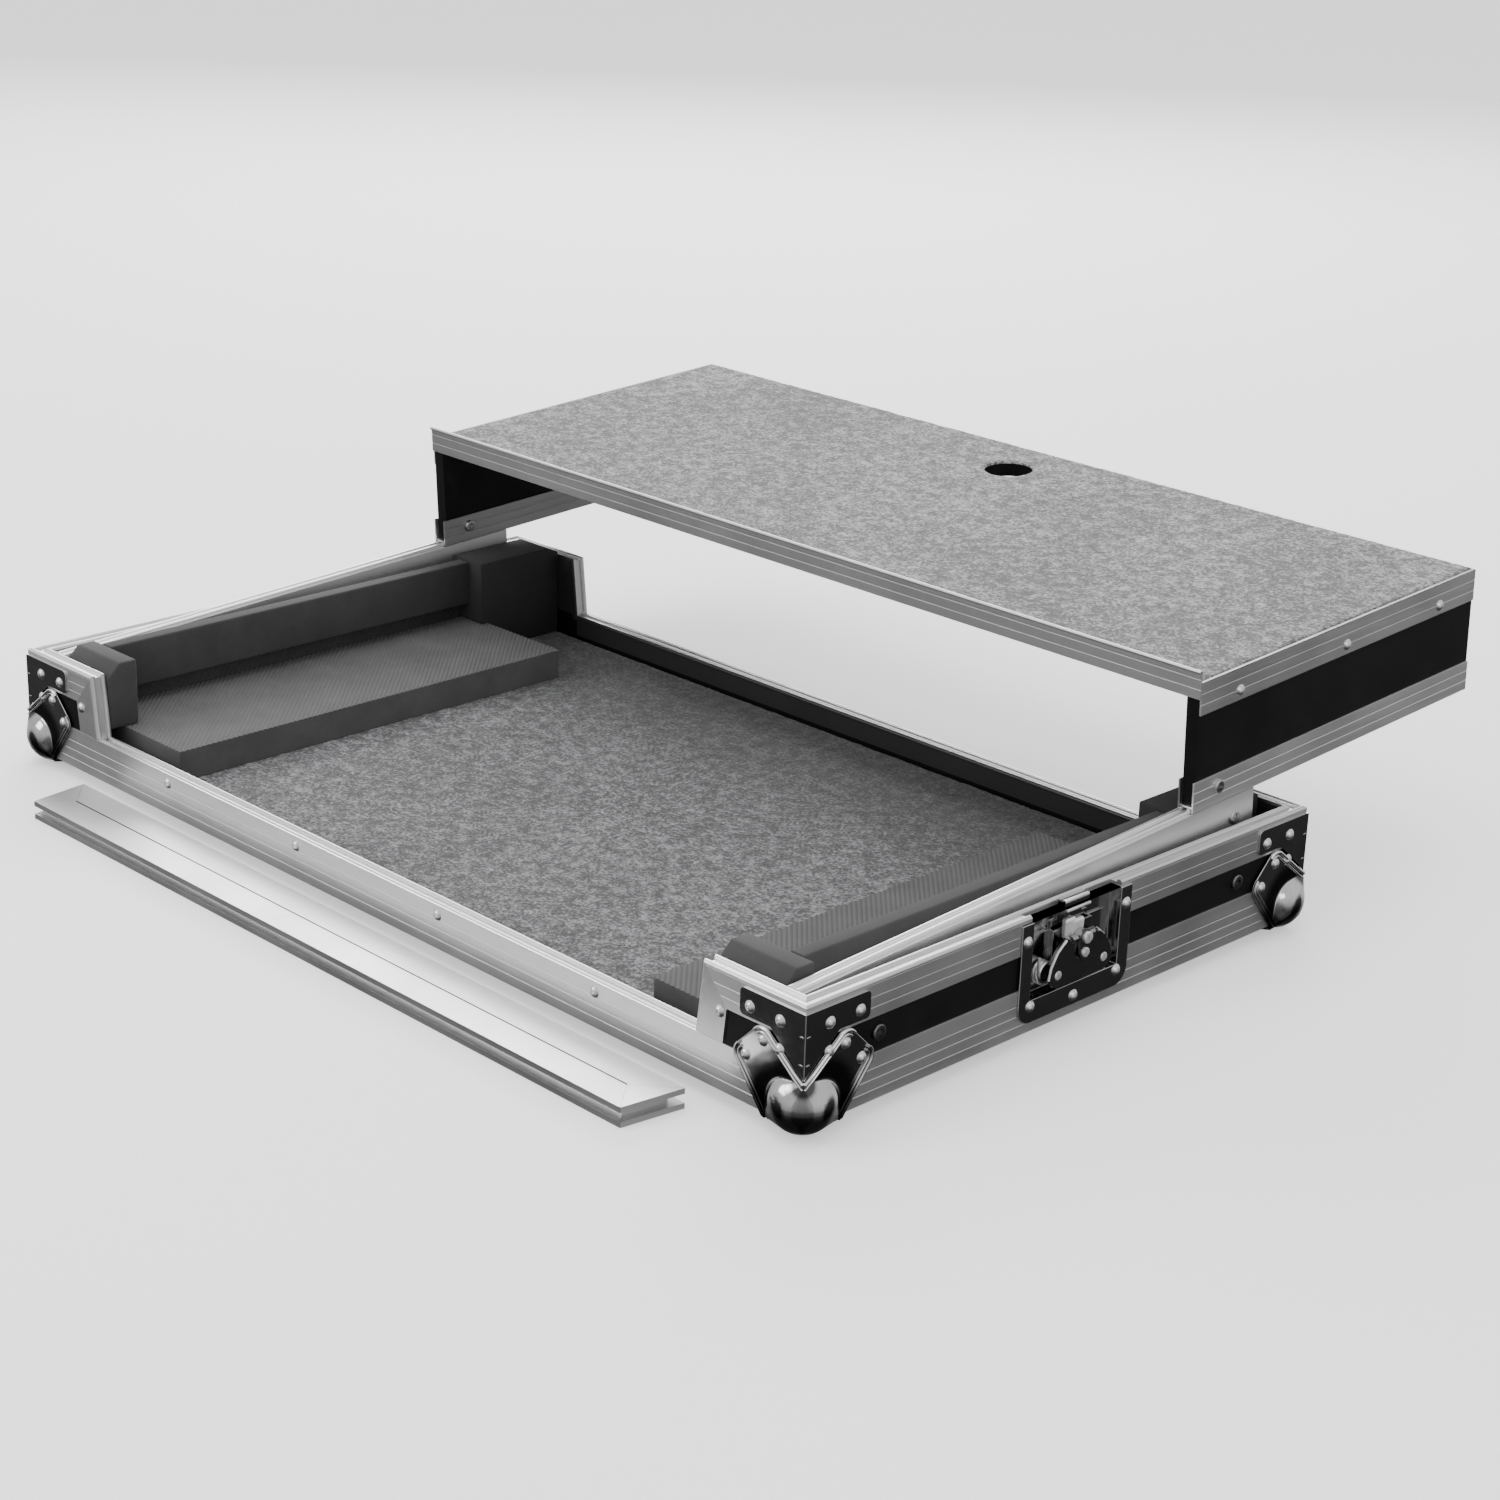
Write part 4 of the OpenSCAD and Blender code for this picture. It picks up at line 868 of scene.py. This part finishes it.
def wing_studs(side, outwards):
    """A wing's bright parts: two slotted studs, and the rolled edges down its flanks, made brighter than the
    wing's plate as a painted highlight.
    """
    stud_out, stud_along, stud_up = case_end + 6.4, 26, 39.5
    flank_out, flank_radius = case_end + 5.7, 1.15
    flank = ((17.0, 64.6), (25.8, 57.0), (32.5, 46.6), (34.6, 37.2))
    studs = [latch_pin(3.6, 1.5, 20, (stud_out, y, stud_up), outwards) for y in (-stud_along, stud_along)]
    for y_side in (-1, 1):
        line = [(outwards * flank_out * MM, y_side * y * MM, z * MM) for y, z in flank]
        studs.append(tube("flank", line, flank_radius * MM))
    studs = merged(studs, "wing_studs_" + side)
    smooth(studs, 35)
    return studs


def latch_spring(side, outwards):
    """The wound spring, with its straight leg up to the frame."""
    low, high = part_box("latch_spring_" + side)
    start, axis_y, axis_z = min(abs(low.x), abs(high.x)) + MM, -31.7 * MM, 40.5 * MM
    radius, pitch, turns, per_turn, wire_radius = 8.4 * MM, 2.6 * MM, 2.5, 32, 1.25 * MM
    points = []
    for k in range(int(turns * per_turn) + 1):
        angle = math.tau * k / per_turn
        points.append((outwards * (start + pitch * k / per_turn), axis_y + radius * math.cos(angle),
                       axis_z + radius * math.sin(angle)))
    x, y, z = points[-1]
    points += [(x, y - 0.6 * MM, z + 6 * MM), (x, y - 0.4 * MM, z + 15 * MM)]
    wire = tube("wound_spring_" + side, points, wire_radius)
    smooth(wire, 60)
    return wire


# The finishes of the case

photo_camera()
# The aluminium's base greys are set part by part to how bright each part looks, so they hold painted light
# and shade: the extrusions along x, on the front and rear, are lighter than the same extrusions along y on
# the sides
alu_x = aluminium("aluminium_along_x", "x", 0.78)
alu_y = aluminium("aluminium_along_y", "y", 0.68)
alu_rail = aluminium("aluminium_rail", "y", 0.92)
alu_channel = aluminium("aluminium_channel", "y", 0.84)
alu_lip = aluminium("aluminium_platform_front", "x", 0.6)
alu_cutout = aluminium("aluminium_cutout", "x", 0.66, posts_from=384.5 * MM)
alu_panel = aluminium("aluminium_panel", "x", 0.66)
alu_rim = aluminium("aluminium_rim", "x", 0.78)
alu_side = aluminium("aluminium_platform_side", "y", 0.68)

# The long seam of the loose panel, darkened as painted shade in its gap
low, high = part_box("panel_edges")
middle = (low + high) / 2
seam_end = (high.x - low.x) / 2 - 4 * MM - (high.y - low.y) / 2
x, y, z = alu_panel.split()
seam = 1 - abs(y - middle.y).between(0.5 * MM, 1.1 * MM)
seam = seam * (1 - abs(x - middle.x).between(seam_end, seam_end + MM))
alu_panel.shade_by(seam, 0.1)

# The shaded joint between the carpet and the platform's side edges
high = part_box("platform_side_edges")[1]
x, y, z = alu_side.split()
level = z - (y - high.y) * math.tan(math.radians(platform_tilt))
alu_side.shade_by(level.between(high.z - 0.7 * MM, high.z - 0.3 * MM), 0.3)

# The leaves inside the front and rear walls are painted black
wall_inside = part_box("wall_rear")[0].y
for finish in (alu_cutout, alu_rim):
    finish.coat_black(1 - abs(finish.split()[1]).between(wall_inside - 0.5 * MM, wall_inside - 0.1 * MM))

# The inner leaves of the runner channels are in shade
alu_channel.shade_by(1 - abs(alu_channel.split()[0]).between(rail_middle - MM, rail_middle + MM), 0.5)

black = laminate("black_laminate", 0.006)
dull_black = laminate("black_board", 0.008)
floor_felt = felt("floor_felt", (0.035, 0.035, 0.037), (0.30, 0.30, 0.31))
top_felt = felt("platform_felt", (0.08, 0.08, 0.082), (0.46, 0.46, 0.465))
grey_foam = foam("grey_foam", 0.085)
black_foam = foam("black_foam", 0.045)

# Darker towards the rear, where the platform keeps the light off
shade_start, shade_end = 20 * MM, 220 * MM
floor_felt.shade_by(floor_felt.split()[1].between(shade_start, shade_end), 0.42)
black_foam.shade_by(black_foam.split()[1].between(shade_start, shade_end), 0.4)

dark_plate = plate("dark_plate", 0.34, 0.6, 0.13)
ball_plate = plate("ball_plate", 0.3, 0.72, 0.14)
wing_plate = plate("wing_plate", 0.26, 0.4, 0.2)

# Painted shade and dark reflections on a ball corner: it is darkened in the ring where its ball meets the
# legs, and on the ball's lower half
case_side, ball_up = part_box("wall_front")[0].y / -MM + leaf, 12.8
ball_place = (case_end - ball_middle, case_side - ball_middle, ball_up)
gaps = [abs(axis) - centre * MM for axis, centre in zip(ball_plate.split(), ball_place)]
square_mm = sum(gap * gap for gap in gaps) * 1e6
ring = square_mm.between(25.4 ** 2, 27 ** 2) * (1 - square_mm.between(33 ** 2, 44 ** 2))
ball_plate.shade_by(ring, 0.16)
ball_plate.shade_by(1 - ball_plate.split()[2].between(10 * MM, 21 * MM), 0.3)

rivet_metal = bright("rivet_metal", 0.56, 0.92, 0.3)
screw_metal = bright("screw_metal", 0.3, 0.6, 0.3)
bolt_metal = bright("bolt_metal", 0.10, 0.26, 0.3)
lip_metal = bright("lip_metal", 0.8, 1.0, 0.2, 200)
cast_metal = bright("cast_metal", 0.8, 1.0, 0.5, 300)
spring_metal = bright("spring_metal", 0.68, 0.95, 0.36, 900)
studio()

# Each CAD node's finish, also under the pieces that take its place
looks = {
    "base_edge_front": alu_x, "base_edge_rear": alu_x, "base_edge_left": alu_y, "base_edge_right": alu_y,
    "rim_edge_left": alu_y, "rim_edge_right": alu_y, "front_rim_edges": alu_rim, "rear_rim_edges": alu_rim,
    "front_cutout_edges": alu_cutout, "rear_cutout_edges": alu_cutout, "panel_edges": alu_panel,
    "rail_track_left": alu_rail, "rail_track_right": alu_rail, "runner_channels": alu_channel,
    "platform_front_edge": alu_lip, "platform_side_edges": alu_side,
    "wall_front": black, "wall_rear": black, "wall_left": black, "wall_right": black,
    "platform_board": black, "platform_side_boards": black,
    "floor_panel": dull_black, "panel_core": dull_black, "rail_fillers": dull_black,
    "rail_board_left": dull_black, "rail_board_right": dull_black,
    "floor_carpet": floor_felt, "platform_carpet": top_felt,
    "foam_pad_left": grey_foam, "foam_pad_right": grey_foam, "foam_bars": black_foam,
    "foam_strips": black_foam, "front_foam_blocks": black_foam, "rear_foam_blocks": black_foam,
    "case_rivets": rivet_metal, "platform_rivets": rivet_metal, "rail_bolts": bolt_metal,
    "rail_stop_screws": screw_metal, "channel_screws": screw_metal}
families = {
    "ball_corner": ball_plate, "corner_bracket": dark_plate, "latch_dish": dark_plate,
    "latch_frame": dark_plate, "latch_wing": wing_plate, "latch_hook": cast_metal, "latch_cam": cast_metal,
    "latch_spring": spring_metal}
for name, piece in nodes.items():
    family = [finish for start, finish in families.items() if name.startswith(start)]
    look = family[0] if family else looks[name]
    piece.data.materials.clear()
    piece.data.materials.append(look.material)

# Foam
for node in ("foam_pad_right", "foam_pad_left"):
    pad = ribbed_pad(node.replace("foam", "ribbed"), *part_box(node))
    fit_out(pad, grey_foam, "case", "foam_grey", node)

for node, rounding in (("foam_bars", 1.6), ("front_foam_blocks", 1.8), ("rear_foam_blocks", 1.8)):
    piece = soft_block(node, rounding * MM)
    fit_out(piece, black_foam, "case", "foam_black", node)

points = [v.co.copy() for v in nodes["foam_strips"].data.vertices]
for side, inwards in (("right", -1), ("left", 1)):
    low, high = reach_of([p for p in points if p.x * inwards < 0])
    strip = ribbed_strip("ribbed_strip_" + side, low, high, inwards)
    fit_out(strip, black_foam, "case", "foam_black", "foam_strips")

# Carpets, the platform's with its round cable hole
top_depth, top_thick, hole_from_rear, hole_radius = 365.6 * MM, 2.5 * MM, 61.4 * MM, 22.5 * MM
low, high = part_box("platform_carpet")
hole = (0, top_depth / 2 - hole_from_rear, hole_radius)
top_sheet = carpet("platform_felt", high.x - low.x, top_depth, top_thick, 3.2 * MM, 3, hole)
back = (low.z + high.z - top_thick / math.cos(math.radians(platform_tilt))) / 2
turned(top_sheet, (platform_tilt, 0, 0), (0, (low.y + high.y) / 2, back))
fit_out(top_sheet, top_felt, "platform", "top_carpet", "platform_carpet")
low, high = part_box("floor_carpet")
sheet = carpet("floor_felt_sheet", high.x - low.x, high.y - low.y, high.z - low.z, 3.6 * MM, 9)
turned(sheet, move=(0, 0, low.z))
fit_out(sheet, floor_felt, "case", "floor_carpet", "floor_carpet")

# Corners. The lips on each corner's front face are given the brighter lip metal as a painted highlight, and
# the others are plated like the ball
dress_corners(corner_lips([0], "upper_lips"), lip_metal, "chrome_ball", 60)
dress_corners(corner_lips([1, 2], "lower_lips"), ball_plate, "chrome_ball", 60)
dress_corners(ball_corner(), ball_plate, "chrome_ball", 60, "ball_corner")
dress_corners(corner_bracket(), dark_plate, "dark_plate", 40, "corner_bracket", crisp=True)

# Bolts and screws
bolt_radius, bolt_height, bolt_recess = 6.2 * MM, 3 * MM, 3 * MM
shaft_radius, shaft_foot, shaft_top = 3 * MM, -26 * MM, 0.5 * MM
bolt = screw_head("rail_bolt_heads", bolt_radius, bolt_height, bolt_recess, False)
shaft = rod("shaft", shaft_radius, (0, 0, shaft_foot), (0, 0, shaft_top), 24)
bolt = merged([bolt, shaft], "rail_bolt_heads")
dressed_screws("rail_bolts", "rail_bolt_heads", bolt, bolt_height, bolt_metal, "case")
screw_radius, screw_height, screw_recess = 5.5 * MM, 2.6 * MM, 3.2 * MM
for node, name, body in (("rail_stop_screws", "stop_screw_heads", "case"),
                         ("channel_screws", "channel_screw_heads", "platform")):
    screw = screw_head("screw", screw_radius, screw_height, screw_recess, True)
    dressed_screws(node, name, screw, screw_height, screw_metal, body)

# Latches. A hook's shoulders are cut off beside its narrow top
half_top, shoulder, shoulder_foot = 14 * MM, 16 * MM, 76 * MM
for side, outwards in (("right", 1), ("left", -1)):
    for part, body, width, finish, slot in (
            ("dish", "case", 0.6, dark_plate, "dark_plate"), ("frame", "case", 0.4, dark_plate, "dark_plate"),
            ("hook", "hook_" + side, 0.4, dark_plate, "latch_bright"),
            ("cam", "cam_" + side, 0.4, wing_plate, "latch_bright"),
            ("wing", "wing_" + side, 0.35, wing_plate, "dark_plate")):
        node = "latch_%s_%s" % (part, side)
        piece = eased(node, width * MM)
        if part == "hook":
            low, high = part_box(node)
            for y in (-half_top - shoulder, half_top):
                carve(piece, block("shoulder", (low.x - MM, y, shoulder_foot),
                                   (high.x + MM, y + shoulder, high.z + MM)))
        fit_out(piece, finish, body, slot, node)
    fit_out(hook_bars(side, outwards), cast_metal, "hook_" + side, "latch_bright")
    fit_out(cam_heads(side, outwards), cast_metal, "cam_" + side, "latch_bright")
    fit_out(wing_studs(side, outwards), cast_metal, "wing_" + side, "latch_bright")
    fit_out(latch_spring(side, outwards), spring_metal, "case", "spring_steel", "latch_spring_" + side)

# Extrusions with their sharp edges taken off
for body, extrusions in (("case", ("base_edge_front", "base_edge_rear", "base_edge_left", "base_edge_right",
                                   "rim_edge_left", "rim_edge_right")),
                         ("platform", ("platform_front_edge", "platform_side_edges", "runner_channels")),
                         ("front_panel", ("panel_edges",))):
    for node in extrusions:
        fit_out(eased(node, 0.3 * MM), looks[node], body, "bare_alu", node)
